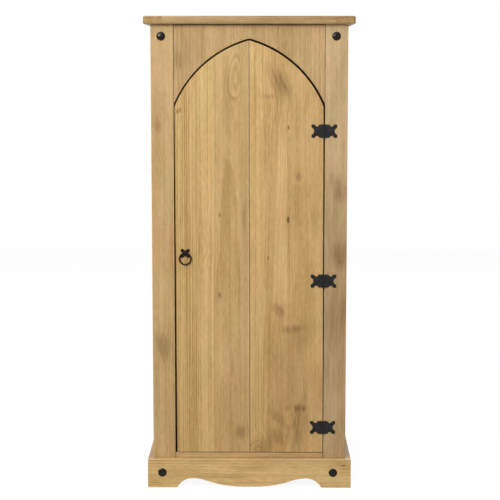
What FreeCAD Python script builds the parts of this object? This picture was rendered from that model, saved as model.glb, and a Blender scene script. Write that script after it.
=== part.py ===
import FreeCAD, Part
import math
import operator
import os
from types import SimpleNamespace

import Sketcher

# The driving dimensions in millimetres: name, value and what it measures
SIZES = (
    # Carcass
    ("overall_height", "1466", "ground to the top of the top board"),
    ("body_width", "603", "outer edge of one stile to the outer edge of the other"),
    ("body_depth", "312", "front of the stiles to the back of the cupboard"),
    ("stile_width", "70", "face of a stile"),
    ("front_thickness", "20", "boards of the front frame and the door"),
    ("side_thickness", "18", "side panels"),
    ("carcass_lift", "38", "ground to the lower end of the stiles and side panels"),
    ("arris", "1.5", "rounding of the arrises that a hand meets"),
    ("fine_arris", "0.7", "rounding of the arrises at glued joints"),
    # Top
    ("top_thickness", "25", "top board and its end caps"),
    ("top_side_overhang", "21.5", "top past the stiles at each side"),
    ("top_front_overhang", "20", "top past the stiles at the front"),
    ("cap_width", "58", "breadboard end cap"),
    ("nose_radius", "5.5", "rounded edge of the top"),
    ("cap_corner_radius", "10", "front corner of an end cap seen from above"),
    # Front frame
    ("crown_depth", "43", "top board to the point of the arch"),
    ("arch_rise", "200.5", "point of the arch to where it meets the stiles"),
    ("arch_bow", "35.3", "height of each arc over its chord"),
    ("head_recess", "1", "head panel behind the face of the stiles"),
    ("head_gap", "2.5", "top to the upper edge of the head panel"),
    ("rail_top", "107", "ground to the top of the bottom rail"),
    # Inside
    ("floor_thickness", "15", "cabinet floor"),
    ("back_thickness", "9", "back boards"),
    ("shelf_thickness", "18", "shelves"),
    ("cleat_height", "25", "shelf cleats"),
    ("cleat_thickness", "18", "shelf cleats"),
    ("cleat_setback", "12", "front end of a cleat behind the shelf's edge"),
    ("batten_size", "26", "square batten under the top"),
    # Plinth
    ("skirt_top", "90.5", "ground to the top of the skirts"),
    ("skirt_thickness", "22", "front skirt"),
    ("side_skirt_thickness", "17", "side skirts"),
    ("foot_length", "92.5", "foot of the front skirt"),
    ("side_foot_length", "62", "front and back foot of a side skirt"),
    ("cove_run", "48", "foot to the crest of the scroll"),
    ("crest_height", "30", "ground to the crest of the scroll"),
    ("drop_height", "3", "ground to the middle drop of the scroll"),
    ("drop_half", "20", "half the flat of the middle drop"),
    ("quirk_depth", "0.9", "scratched line along the skirts"),
    ("quirk_width", "1.2", "scratched line along the skirts"),
    ("quirk_drop", "3.6", "top of the skirts to the scratched line"),
    ("block_size", "40", "corner blocks seen from above"),
    ("back_rail_thickness", "18", "rail behind the plinth"),
    # Door
    ("door_gap", "3.2", "door to the stiles, if it hung upright"),
    ("arch_gap", "4.7", "door to the arch"),
    ("door_bottom_gap", "2", "door to the bottom rail"),
    ("door_foot_lean", "2", "foot of the door towards the hinges, as it is hung"),
    ("door_head_lean", "0.8", "head of the door away from the hinges, as it is hung"),
    ("ledge_thickness", "18", "ledges across the back of the door"),
    ("ledge_height", "58", "ledges across the back of the door"),
    ("ledge_inset", "34", "end of a ledge from the edge of the door"),
    ("low_ledge_height", "150", "foot of the door to the middle of its lowest ledge"),
    ("shelf_clearance", "2", "shelf edge behind the ledges"),
    # Hinges
    ("leaf_length", "39.5", "pin to the tip of a leaf"),
    ("leaf_half_height", "20.5", "half the height of a leaf"),
    ("leaf_thickness", "2", "sheet of a leaf"),
    ("leaf_notch_radius", "6.6", "round notch in the upper and lower edge of a leaf"),
    ("leaf_notch_reach", "22.5", "pin to the middle of that notch"),
    ("tip_notch_radius", "11", "round notch in the tip of a leaf"),
    ("tip_notch_depth", "8.5", "how far that notch comes in"),
    ("lobe_radius", "3.8", "rounded corners of the lobes"),
    ("knuckle_radius", "3.5", "barrel of a hinge"),
    ("knuckle_play", "0.3", "between the knuckles, and behind them"),
    ("pin_radius", "2", "hinge pin"),
    ("pin_clearance", "0.05", "pin in its knuckles"),
    ("pin_proud", "1", "end of the pin past the barrel"),
    ("high_hinge_drop", "80.5", "spring of the arch to the highest hinge"),
    ("low_hinge_rise", "79.6", "foot of the door to the lowest hinge"),
    # Screws
    ("screw_head_radius", "3.1", "round head of a hinge screw"),
    ("screw_head_height", "1.4", "round head of a hinge screw"),
    ("screw_shank_radius", "1.5", "shank of a hinge screw"),
    ("screw_length", "15", "shank below the head"),
    ("screw_inset", "6", "lobe screw from the tip and the edge of a leaf"),
    ("screw_reach", "18.5", "pin to the middle screw of a leaf"),
    ("hole_clearance", "0.05", "screws and nails in their holes"),
    ("ledge_screw_bite", "12", "shank of a ledge screw in the door boards"),
    # Ring handle
    ("ring_edge_distance", "29.8", "edge of the door to the middle of the ring"),
    ("ring_axis_height", "740.3", "ground to the wire at the top of the ring"),
    ("ring_radius", "17.8", "middle of the wire of the ring"),
    ("ring_wire_radius", "2.25", "wire of the ring"),
    ("plate_half", "13.8", "half the four-lobed plate"),
    ("plate_thickness", "2", "four-lobed plate"),
    ("plate_notch_radius", "6.4", "round notches between its lobes"),
    ("plate_notch_depth", "5.6", "how far the notches come in"),
    ("plate_lobe_radius", "3", "rounded corners of its lobes"),
    ("plate_drop", "1.3", "middle of the plate below the wire at the top of the ring"),
    ("staple_width", "7", "strap that holds the ring"),
    ("staple_thickness", "2.2", "strap that holds the ring"),
    ("ring_play", "0.3", "ring to its staple and its plate"),
    # Nails
    ("nail_radius", "13.6", "dome-headed nail"),
    ("nail_height", "5", "dome-headed nail"),
    ("nail_shank_radius", "1.7", "shank of a nail"),
    ("nail_length", "16", "shank below the dome"),
    ("nail_side_inset", "34", "stile's outer edge to the nails"),
    ("nail_drop", "35.8", "top board to the nails of the stiles"),
    ("stile_nail_stray", "2", "nails of the stiles left of their even places"),
    ("skirt_nail_height", "48.5", "ground to the nails of the skirt"),
    ("skirt_nail_stray", "5.3", "nails of the skirt left of their even places"),
    # Catch
    ("catch_length", "46", "magnetic catch"),
    ("catch_height", "15", "magnetic catch"),
    ("catch_depth", "13", "magnetic catch"),
    ("catch_inset", "28", "end of the ledge to the middle of the catch"),
    ("strike_length", "38", "strike of the catch"),
    ("strike_height", "12", "strike of the catch"),
    ("strike_thickness", "1.5", "strike of the catch"),
)

# Counts, and shares of the sizes that they follow
BACK_BOARDS = 4
SHELVES = ("lower", "middle", "upper")
KNUCKLES = 3
SCROLL_SPLIT_SHARE = 0.27
LEDGE_SCREW_SHARES = ((0.22, 0.25), (0.86, -0.25))

# Two places closer than this are taken for the same
TOUCH = 0.001

OPERATORS = {"+": operator.add, "-": operator.sub, "*": operator.mul, "/": operator.truediv}
PLANE_OF = {"XY": "XY_Plane", "XZ": "XZ_Plane", "YZ": "YZ_Plane"}


class Formula:
    """A length worked out from the sheet: the text that binds it, and its value now."""

    def __init__(self, text, value):
        self.text = text
        self.value = value

    def __add__(self, other):
        return combined(self, "+", other)

    def __radd__(self, other):
        return combined(other, "+", self)

    def __sub__(self, other):
        return combined(self, "-", other)

    def __rsub__(self, other):
        return combined(other, "-", self)

    def __mul__(self, other):
        return combined(self, "*", other)

    def __rmul__(self, other):
        return combined(other, "*", self)

    def __truediv__(self, other):
        return combined(self, "/", other)

    def __neg__(self):
        return Formula(f"(-{self.text})", -self.value)


def text_of(item):
    return item.text if isinstance(item, Formula) else repr(item)


def value_of(item):
    return item.value if isinstance(item, Formula) else item


def combined(left, sign, right):
    text = f"({text_of(left)} {sign} {text_of(right)})"
    return Formula(text, OPERATORS[sign](value_of(left), value_of(right)))


def root(square):
    return Formula(f"sqrt({square.text})", math.sqrt(square.value))


doc = FreeCAD.newDocument("cupboard")
sheet = doc.addObject("Spreadsheet::Sheet", "Sizes")
for row, (alias, value, meaning) in enumerate(SIZES, start=1):
    sheet.set(f"A{row}", alias)
    sheet.set(f"B{row}", value)
    sheet.setAlias(f"B{row}", alias)
    sheet.set(f"C{row}", meaning)
doc.recompute()
size = SimpleNamespace(
    **{alias: Formula(f"Sizes.{alias}", float(sheet.get(alias))) for alias, _, _ in SIZES}
)
nodes = []


def bind(target, lengths):
    """Bind properties of an object, named as in its expressions, to lengths."""
    for name, length in lengths.items():
        target.setExpression(name, text_of(length))


def new_body(label):
    body = doc.addObject("PartDesign::Body", label)
    body.Label = label
    nodes.append(body)
    return body


def place_body(body, x, y, z, turn=None):
    """Put a body that is made about its own origin at its place, turned if a turn is given."""
    if turn:
        body.Placement = FreeCAD.Placement(FreeCAD.Vector(), turn)
    bind(body, {"Placement.Base.x": x, "Placement.Base.y": y, "Placement.Base.z": z})


def add_box(body, kind, x, y, z):
    """Additive or subtractive box between the two ends of each of its three ranges."""
    box = body.newObject(f"PartDesign::{kind}Box", f"{body.Label}_box")
    sides = {"Length": x, "Width": y, "Height": z}
    bind(box, {name: ends[1] - ends[0] for name, ends in sides.items()})
    starts = {"x": x[0], "y": y[0], "z": z[0]}
    bind(box, {f"Placement.Base.{axis}": start for axis, start in starts.items()})
    return box


def add_cylinder(body, kind, radius, height, x, y, z, turn=None):
    """Additive or subtractive cylinder along +Z from its place, or along a turned +Z."""
    cylinder = body.newObject(f"PartDesign::{kind}Cylinder", f"{body.Label}_cylinder")
    if turn:
        cylinder.Placement = FreeCAD.Placement(FreeCAD.Vector(), turn)
    bind(cylinder, {"Radius": radius, "Height": height})
    bind(cylinder, {"Placement.Base.x": x, "Placement.Base.y": y, "Placement.Base.z": z})
    return cylinder


def lies_on(edge, axis, place):
    low = getattr(edge.BoundBox, f"{axis}Min")
    high = getattr(edge.BoundBox, f"{axis}Max")
    return abs(low - place.value) < TOUCH and abs(high - place.value) < TOUCH


def corner(*planes):
    """Test for the edges that lie in all the given planes, each an axis and a place on it."""
    return lambda edge: all(lies_on(edge, axis, place) for axis, place in planes)


def dress_edges(body, kind, length, *tests):
    """Dress with a Fillet of a Radius, or a Chamfer of a Size, the edges that pass any of the
    tests, or every edge where there is no test."""
    doc.recompute()
    base = body.Tip
    names = []
    for number, edge in enumerate(base.Shape.Edges, start=1):
        if any(test(edge) for test in tests):
            names.append(f"Edge{number}")
    dressing = body.newObject(f"PartDesign::{kind}", f"{body.Label}_{kind.lower()}")
    dressing.Base = (base, names or [""])
    dressing.UseAllEdges = not tests
    bind(dressing, {"Radius" if kind == "Fillet" else "Size": length})
    doc.recompute()


def round_edges(body, radius, *tests):
    dress_edges(body, "Fillet", radius, *tests)


def board(label, x, y, z, arris=None):
    """A sawn board between the two ends of each range, with its arrises rounded."""
    body = new_body(label)
    add_box(body, "Additive", x, y, z)
    if arris:
        round_edges(body, arris)
    return body


def attach(body, name, plane, offset):
    """A sketch on one of the body's origin planes, moved along that plane's normal."""
    sketch = body.newObject("Sketcher::SketchObject", f"{body.Label}_{name}")
    planes = {item.Role: item for item in body.Origin.OriginFeatures}
    sketch.AttachmentSupport = [(planes[PLANE_OF[plane]], "")]
    sketch.MapMode = "FlatFace"
    bind(sketch, {"AttachmentOffset.Base.z": offset})
    return sketch


def arc_between(start, end, radius, turn):
    """The short arc between two points, counterclockwise for a turn of 1, clockwise for -1."""
    run, rise = end[0] - start[0], end[1] - start[1]
    chord = math.hypot(run, rise)
    reach = turn * math.sqrt(radius * radius - chord * chord / 4) / chord
    centre_x = (start[0] + end[0]) / 2 - rise * reach
    centre_y = (start[1] + end[1]) / 2 + run * reach
    first, last = (start, end) if turn > 0 else (end, start)
    angles = [math.atan2(y - centre_y, x - centre_x) for x, y in (first, last)]
    circle = Part.Circle(FreeCAD.Vector(centre_x, centre_y, 0), FreeCAD.Vector(0, 0, 1), radius)
    return Part.ArcOfCircle(circle, *angles)


def draw_outline(sketch, points, arcs):
    """Closed outline through the points. Edge n runs from point n, and arcs gives the edges
    that are arcs with their radius and turn. Points and radii are bound to the sheet."""
    values = [(value_of(x), value_of(y)) for x, y in points]
    ends = []
    for number, start in enumerate(values):
        end = values[(number + 1) % len(values)]
        if number in arcs:
            radius, turn = arcs[number]
            sketch.addGeometry(arc_between(start, end, radius.value, turn), False)
            ends.append((1, 2) if turn > 0 else (2, 1))
        else:
            line = Part.LineSegment(FreeCAD.Vector(*start, 0), FreeCAD.Vector(*end, 0))
            sketch.addGeometry(line, False)
            ends.append((1, 2))
    for number, (_, last) in enumerate(ends):
        following = (number + 1) % len(ends)
        joint = Sketcher.Constraint("Coincident", number, last, following, ends[following][0])
        sketch.addConstraint(joint)
    for number, (x, y) in enumerate(points):
        for kind, length in (("DistanceX", x), ("DistanceY", y)):
            held = Sketcher.Constraint(kind, number, ends[number][0], float(value_of(length)))
            index = sketch.addConstraint(held)
            sketch.setExpression(f"Constraints[{index}]", text_of(length))
    for number, (radius, _) in arcs.items():
        index = sketch.addConstraint(Sketcher.Constraint("Radius", number, radius.value))
        sketch.setExpression(f"Constraints[{index}]", text_of(radius))


def pad_outline(label, plane, points, arcs, start, end):
    """A body whose outline on a plane is padded from one place on that plane's axis to another."""
    body = new_body(label)
    faces_back = plane == "XZ"
    sketch = attach(body, "outline", plane, -start if faces_back else start)
    draw_outline(sketch, points, arcs)
    pad = body.newObject("PartDesign::Pad", f"{label}_pad")
    pad.Profile = (sketch, [""])
    pad.Reversed = faces_back
    bind(pad, {"Length": end - start})
    doc.recompute()
    return body


FACING_FRONT = FreeCAD.Rotation(FreeCAD.Vector(1, 0, 0), 90)
FACING_BACK = FreeCAD.Rotation(FreeCAD.Vector(1, 0, 0), -90)

# Planes that the pieces share: x from the middle, y from front to back, z from the ground
half_width = size.body_width / 2
front = (size.skirt_thickness + size.nail_height - size.body_depth) / 2
back = front + size.body_depth
frame_back = front + size.front_thickness
lining = back - size.back_thickness
top_under = size.overall_height - size.top_thickness
stile_inner = half_width - size.stile_width
side_inner = half_width - size.side_thickness
floor_under = size.rail_top - size.floor_thickness
ledge_back = frame_back + size.ledge_thickness
shelf_front = ledge_back + size.shelf_clearance
arch_point = top_under - size.crown_depth
arch_spring = arch_point - size.arch_rise
door_bottom = size.rail_top + size.door_bottom_gap
hinge_x = stile_inner - size.door_gap / 2
hinge_y = front - size.knuckle_radius - size.knuckle_play


def drill(body, places, radius, depth, face, turn=FACING_BACK):
    """Round holes into a body from one of its faces, towards the back or as turned."""
    for x, z in places:
        add_cylinder(body, "Subtractive", radius, depth, x, face, z, turn)
    doc.recompute()


def screw_group(label, screw, places, face, turn):
    """One node of equal screws, a copy of the given screw at each place on a face."""
    copies = []
    for number, (x, z) in enumerate(places, start=1):
        link = doc.addObject("App::Link", f"{label}_{number}")
        link.LinkedObject = screw
        place_body(link, x, face, z, turn)
        copies.append(link)
    group = doc.addObject("Part::Compound", label)
    group.Label = label
    group.Links = copies
    nodes.append(group)


def leaf_screw_places(height, side):
    """The screws of one leaf: one in each lobe and one in the middle."""
    lobe_rise = size.leaf_half_height - size.screw_inset
    lobe_x = hinge_x + side * (size.leaf_length - size.screw_inset)
    middle_x = hinge_x + side * size.screw_reach
    return [(lobe_x, height + lobe_rise), (lobe_x, height - lobe_rise), (middle_x, height)]


def screw_places(side):
    """The screws of all three hinges on one side of their pins."""
    places = []
    for height in hinge_heights.values():
        places += leaf_screw_places(height, side)
    return places


high_hinge = arch_spring - size.high_hinge_drop
low_hinge = door_bottom + size.low_hinge_rise
hinge_heights = {"upper": high_hinge, "middle": (high_hinge + low_hinge) / 2, "lower": low_hinge}
screw_hole = size.screw_shank_radius + size.hole_clearance
nail_hole = size.nail_shank_radius + size.hole_clearance
nail_x = half_width - size.nail_side_inset
nail_spots = {
    "stile": (front, top_under - size.nail_drop, size.stile_nail_stray),
    "skirt": (front - size.skirt_thickness, size.skirt_nail_height, size.skirt_nail_stray),
}


def nail_place(part_name, side):
    """Where a nail stands in the face of its board: across and up."""
    _, nail_z, stray = nail_spots[part_name]
    return (side * nail_x - stray, nail_z)


# The top: one wide board between two breadboard end caps, all with a rounded nose
top_front = front - size.top_front_overhang
cap_outer = half_width + size.top_side_overhang
cap_inner = cap_outer - size.cap_width
top_y = (top_front, back)
top_z = (top_under, size.overall_height)

top_board = board("top_board", (-cap_inner, cap_inner), top_y, top_z)
round_edges(
    top_board,
    size.nose_radius,
    corner(("Y", top_front), ("Z", top_under)),
    corner(("Y", top_front), ("Z", size.overall_height)),
)
round_edges(
    top_board,
    size.fine_arris,
    corner(("X", cap_inner), ("Z", size.overall_height)),
    corner(("X", -cap_inner), ("Z", size.overall_height)),
)

for name, side in (("left", -1), ("right", 1)):
    joint, outer = side * cap_inner, side * cap_outer
    cap = board(
        f"top_end_cap_{name}", (joint, outer) if side > 0 else (outer, joint), top_y, top_z
    )
    round_edges(cap, size.cap_corner_radius, corner(("X", outer), ("Y", top_front)))

    def on_nose(edge):
        level = lies_on(edge, "Z", top_under) or lies_on(edge, "Z", size.overall_height)
        return level and not lies_on(edge, "X", joint) and not lies_on(edge, "Y", back)

    round_edges(cap, size.nose_radius, on_nose)
    round_edges(cap, size.fine_arris, corner(("X", joint), ("Z", size.overall_height)))


# The front frame: two stiles, the head panel cut to the pointed arch, and the bottom rail
for name, side in (("left", -1), ("right", 1)):
    ends = (stile_inner, half_width) if side > 0 else (-half_width, -stile_inner)
    stile = board(
        f"stile_{name}", ends, (front, frame_back), (size.carcass_lift, top_under), size.arris
    )
    drill(stile, [nail_place("stile", side)], nail_hole, size.nail_length, front)
    if side > 0:
        drill(stile, screw_places(side), screw_hole, size.screw_length, front)

# Each arc of the arch is set by its chord and its bow, and its centre follows
chord_square = stile_inner * stile_inner + size.arch_rise * size.arch_rise
chord = root(chord_square)
arch_radius = (chord_square / 4 + size.arch_bow * size.arch_bow) / (2 * size.arch_bow)
centre_reach = (arch_radius - size.arch_bow) / chord
centre_out = size.arch_rise * centre_reach - stile_inner / 2
centre_height = arch_spring + size.arch_rise / 2 - stile_inner * centre_reach
head_top = top_under - size.head_gap

head_panel = pad_outline(
    "head_panel",
    "XZ",
    (
        (-stile_inner, arch_spring),
        (0, arch_point),
        (stile_inner, arch_spring),
        (stile_inner, head_top),
        (-stile_inner, head_top),
    ),
    {0: (arch_radius, -1), 1: (arch_radius, -1)},
    front + size.head_recess,
    frame_back,
)

board(
    "bottom_rail",
    (-stile_inner, stile_inner),
    (front, frame_back),
    (size.carcass_lift, size.rail_top),
    size.fine_arris,
)


# The carcass: side panels, back boards, cabinet floor and the batten that holds the top
for name, side in (("left", -1), ("right", 1)):
    ends = (side_inner, half_width) if side > 0 else (-half_width, -side_inner)
    board(
        f"side_panel_{name}",
        ends,
        (frame_back, back),
        (size.carcass_lift, top_under),
        size.fine_arris,
    )

back_board_width = 2 * side_inner / BACK_BOARDS
for number in range(BACK_BOARDS):
    start = number * back_board_width - side_inner
    board(
        f"back_board_{number + 1}",
        (start, start + back_board_width),
        (lining, back),
        (size.carcass_lift, top_under),
        size.fine_arris,
    )

board(
    "cabinet_floor", (-side_inner, side_inner), (frame_back, lining), (floor_under, size.rail_top)
)
board(
    "top_batten",
    (-side_inner, side_inner),
    (frame_back, frame_back + size.batten_size),
    (top_under - size.batten_size, top_under),
)


# Three shelves share the height evenly, each on a pair of cleats
shelf_pitch = (top_under - size.rail_top) / (len(SHELVES) + 1)
shelf_tops = {
    name: size.rail_top + number * shelf_pitch for number, name in enumerate(SHELVES, start=1)
}
for name, shelf_top in shelf_tops.items():
    shelf_under = shelf_top - size.shelf_thickness
    board(
        f"shelf_{name}",
        (-side_inner, side_inner),
        (shelf_front, lining),
        (shelf_under, shelf_top),
        size.arris,
    )
    cleat_y = (shelf_front + size.cleat_setback, lining)
    cleat_z = (shelf_under - size.cleat_height, shelf_under)
    cleat_inner = side_inner - size.cleat_thickness
    board(f"cleat_{name}_left", (-side_inner, -cleat_inner), cleat_y, cleat_z)
    board(f"cleat_{name}_right", (cleat_inner, side_inner), cleat_y, cleat_z)


# The plinth: a scrolled front skirt over the ends of two side skirts, with blocks behind
skirt_front = front - size.skirt_thickness
skirt_half = half_width + size.side_skirt_thickness
cove_radius = (size.cove_run * size.cove_run + size.crest_height * size.crest_height) / (
    2 * size.crest_height
)
foot_inner = skirt_half - size.foot_length
crest_x = foot_inner - size.cove_run
ogee_run = crest_x - size.drop_half
ogee_drop = size.crest_height - size.drop_height
split_x = crest_x - SCROLL_SPLIT_SHARE * ogee_run
split_z = size.crest_height - SCROLL_SPLIT_SHARE * ogee_drop
ogee_radius = (ogee_run * ogee_run + ogee_drop * ogee_drop) / (2 * ogee_drop)
crest_radius = SCROLL_SPLIT_SHARE * ogee_radius
drop_radius = (1 - SCROLL_SPLIT_SHARE) * ogee_radius


def scratch_quirk(body, x, y):
    """The fine line that is scratched along a skirt under its top edge."""
    top = size.skirt_top - size.quirk_drop
    add_box(body, "Subtractive", x, y, (top - size.quirk_width, top))
    doc.recompute()


front_skirt = pad_outline(
    "plinth_front_skirt",
    "XZ",
    (
        (-skirt_half, 0),
        (-foot_inner, 0),
        (-crest_x, size.crest_height),
        (-split_x, split_z),
        (-size.drop_half, size.drop_height),
        (size.drop_half, size.drop_height),
        (split_x, split_z),
        (crest_x, size.crest_height),
        (foot_inner, 0),
        (skirt_half, 0),
        (skirt_half, size.skirt_top),
        (-skirt_half, size.skirt_top),
    ),
    {
        1: (cove_radius, -1),
        2: (crest_radius, -1),
        3: (drop_radius, 1),
        5: (drop_radius, 1),
        6: (crest_radius, -1),
        7: (cove_radius, -1),
    },
    skirt_front,
    front,
)
round_edges(
    front_skirt,
    size.arris,
    corner(("Y", skirt_front), ("Z", size.skirt_top)),
    corner(("X", skirt_half), ("Y", skirt_front)),
    corner(("X", -skirt_half), ("Y", skirt_front)),
    corner(("X", skirt_half), ("Z", size.skirt_top)),
    corner(("X", -skirt_half), ("Z", size.skirt_top)),
)
scratch_quirk(
    front_skirt, (-skirt_half, skirt_half), (skirt_front, skirt_front + size.quirk_depth)
)
drill(
    front_skirt,
    [nail_place("skirt", -1), nail_place("skirt", 1)],
    nail_hole,
    size.nail_length,
    skirt_front,
)

for name, side in (("left", -1), ("right", 1)):
    ends = (half_width, skirt_half) if side > 0 else (-skirt_half, -half_width)
    side_skirt = pad_outline(
        f"plinth_side_skirt_{name}",
        "YZ",
        (
            (front, 0),
            (front + size.side_foot_length, 0),
            (front + size.side_foot_length + size.cove_run, size.crest_height),
            (back - size.side_foot_length - size.cove_run, size.crest_height),
            (back - size.side_foot_length, 0),
            (back, 0),
            (back, size.skirt_top),
            (front, size.skirt_top),
        ),
        {1: (cove_radius, -1), 3: (cove_radius, -1)},
        *ends,
    )
    outer = side * skirt_half
    round_edges(side_skirt, size.arris, corner(("X", outer), ("Z", size.skirt_top)))
    quirk = (outer - side * size.quirk_depth, outer)
    scratch_quirk(side_skirt, quirk if side > 0 else quirk[::-1], (front, back))

block_inner = side_inner - size.block_size
for depth_name, block_y in (
    ("front", (frame_back, frame_back + size.block_size)),
    ("back", (lining - size.block_size, lining)),
):
    board(f"corner_block_{depth_name}_left", (-side_inner, -block_inner), block_y, (0, floor_under))
    board(f"corner_block_{depth_name}_right", (block_inner, side_inner), block_y, (0, floor_under))
board(
    "plinth_back_rail",
    (-block_inner, block_inner),
    (lining - size.back_rail_thickness, lining),
    (size.carcass_lift, floor_under),
)


# The door: two wide boards side by side, cut to the arch, and three ledges across the back,
# each screwed on with two screws to a board
door_half = stile_inner - size.door_gap
door_radius = arch_radius - size.arch_gap
door_point = centre_height + root(door_radius * door_radius - centre_out * centre_out)
door_reach = door_half + centre_out
door_spring = centre_height + root(door_radius * door_radius - door_reach * door_reach)
ledge_half = door_half - size.ledge_inset
ledge_heights = {
    "lower": door_bottom + size.low_ledge_height,
    "middle": shelf_tops["middle"] - size.shelf_thickness - size.catch_height / 2,
    "upper": shelf_tops["upper"] - size.shelf_thickness / 2,
}


def ledge_screw_places(sides, names):
    """Screws of the named ledges in the door boards on the given sides."""
    places = []
    for name in names:
        for side in sides:
            for across, up in LEDGE_SCREW_SHARES:
                height = ledge_heights[name] + up * size.ledge_height
                places.append((side * across * ledge_half, height))
    return places


for name, side in (("left", -1), ("right", 1)):
    corners = (
        (size.door_foot_lean, door_bottom),
        (side * door_half + size.door_foot_lean, door_bottom),
        (side * door_half - size.door_head_lean, door_spring),
        (-size.door_head_lean, door_point),
    )
    door_board = pad_outline(
        f"door_board_{name}", "XZ", corners, {2: (door_radius, side)}, front, frame_back
    )
    dress_edges(door_board, "Chamfer", size.fine_arris, corner(("Y", front)))
    bites = ledge_screw_places((side,), ledge_heights)
    drill(door_board, bites, screw_hole, size.ledge_screw_bite, frame_back, FACING_FRONT)
    if side > 0:
        drill(door_board, screw_places(-1), screw_hole, size.screw_length, front)

for name, height in ledge_heights.items():
    ledge = board(
        f"door_ledge_{name}",
        (-ledge_half, ledge_half),
        (frame_back, ledge_back),
        (height - size.ledge_height / 2, height + size.ledge_height / 2),
        size.arris,
    )
    places = ledge_screw_places((-1, 1), (name,))
    drill(ledge, places, screw_hole, size.ledge_thickness, ledge_back, FACING_FRONT)


# Butterfly hinges: each leaf is a plate with notches between its lobes, rolled round the pin
knuckle_length = 2 * size.leaf_half_height / KNUCKLES
knuckle_hole = size.pin_radius + size.pin_clearance


def hinge_leaf(label, height, side, barrels):
    """One leaf on its side of the pin, with barrels at the given knuckle numbers."""
    body = new_body(label)
    tip = hinge_x + side * size.leaf_length
    bottom, top = height - size.leaf_half_height, height + size.leaf_half_height
    plate_x = (hinge_x, tip) if side > 0 else (tip, hinge_x)
    plate_y = (front - size.leaf_thickness, front)
    add_box(body, "Additive", plate_x, plate_y, (bottom, top))
    notch_x = hinge_x + side * size.leaf_notch_reach
    notches = [(notch_x, bottom), (notch_x, top)]
    drill(body, notches, size.leaf_notch_radius, size.leaf_thickness, plate_y[0])
    tip_notch_x = tip + side * (size.tip_notch_radius - size.tip_notch_depth)
    tip_notch = [(tip_notch_x, height)]
    drill(body, tip_notch, size.tip_notch_radius, size.leaf_thickness, plate_y[0])

    def on_lobe(edge):
        box = edge.BoundBox
        across = box.XLength < TOUCH and box.ZLength < TOUCH
        return across and abs(box.XMin - hinge_x.value) > size.knuckle_radius.value

    round_edges(body, size.lobe_radius, on_lobe)
    past_barrel = size.knuckle_radius + size.knuckle_play
    relief_x = (hinge_x, hinge_x + side * past_barrel)
    for number in range(KNUCKLES):
        low = bottom + number * knuckle_length
        lower_play = size.knuckle_play / 2 if number > 0 else 0
        upper_play = size.knuckle_play / 2 if number < KNUCKLES - 1 else 0
        if number in barrels:
            add_cylinder(
                body,
                "Additive",
                size.knuckle_radius,
                knuckle_length - lower_play - upper_play,
                hinge_x,
                hinge_y,
                low + lower_play,
            )
        else:
            add_box(
                body,
                "Subtractive",
                relief_x if side > 0 else relief_x[::-1],
                plate_y,
                (low - lower_play, low + knuckle_length + upper_play),
            )
    add_cylinder(
        body, "Subtractive", knuckle_hole, 2 * size.leaf_half_height, hinge_x, hinge_y, bottom
    )
    holes = leaf_screw_places(height, side)
    drill(body, holes, screw_hole, size.leaf_thickness, plate_y[0])


for name, height in hinge_heights.items():
    hinge_leaf(f"hinge_{name}_door_leaf", height, -1, (0, 2))
    hinge_leaf(f"hinge_{name}_stile_leaf", height, 1, (1,))
    pin = new_body(f"hinge_{name}_pin")
    pin_bottom = height - size.leaf_half_height - size.pin_proud
    pin_length = 2 * (size.leaf_half_height + size.pin_proud)
    add_cylinder(pin, "Additive", size.pin_radius, pin_length, hinge_x, hinge_y, pin_bottom)
    pin_ends = (corner(("Z", pin_bottom)), corner(("Z", pin_bottom + pin_length)))
    round_edges(pin, size.fine_arris, *pin_ends)


def stud(label, head_radius, head_height, shank_radius, shank_length):
    """A domed head with a round shank, made about its own axis with the dome towards +Z."""
    body = doc.addObject("PartDesign::Body", label)
    body.Label = label
    dome = (head_radius * head_radius + head_height * head_height) / (2 * head_height)
    sketch = attach(body, "profile", "XZ", 0)
    draw_outline(
        sketch,
        (
            (0, -shank_length),
            (shank_radius, -shank_length),
            (shank_radius, 0),
            (head_radius, 0),
            (0, head_height),
        ),
        {3: (dome, 1)},
    )
    turned = body.newObject("PartDesign::Revolution", f"{label}_turned")
    turned.Profile = (sketch, [""])
    turned.ReferenceAxis = (sketch, ["V_Axis"])
    turned.Angle = 360
    doc.recompute()
    return body


# Hinge screws and ledge screws: one of each, repeated at every hole
hinge_screw = stud(
    "hinge_screw",
    size.screw_head_radius,
    size.screw_head_height,
    size.screw_shank_radius,
    size.screw_length,
)
leaf_face = front - size.leaf_thickness
for name, side in (("door", -1), ("stile", 1)):
    places = screw_places(side)
    screw_group(f"hinge_screws_{name}", hinge_screw, places, leaf_face, FACING_FRONT)

ledge_screw = stud(
    "ledge_screw",
    size.screw_head_radius,
    size.screw_head_height,
    size.screw_shank_radius,
    size.ledge_thickness + size.ledge_screw_bite,
)
places = ledge_screw_places((-1, 1), ledge_heights)
screw_group("ledge_screws", ledge_screw, places, ledge_back, FACING_BACK)


# Dome-headed nails: two in the stiles, two in the front skirt
for name, side in (("left", -1), ("right", 1)):
    for part_name, (nail_y, _, _) in nail_spots.items():
        nail = stud(
            f"nail_{part_name}_{name}",
            size.nail_radius,
            size.nail_height,
            size.nail_shank_radius,
            size.nail_length,
        )
        nail_across, nail_z = nail_place(part_name, side)
        place_body(nail, nail_across, nail_y, nail_z, FACING_FRONT)
        nodes.append(nail)


# The ring handle: a four-lobed plate on the door, a strap staple and the ring in it
ring_x = size.ring_edge_distance - door_half
ring_y = front - size.plate_thickness - size.ring_wire_radius - size.ring_play
plate_z = size.ring_axis_height - size.plate_drop

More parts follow.
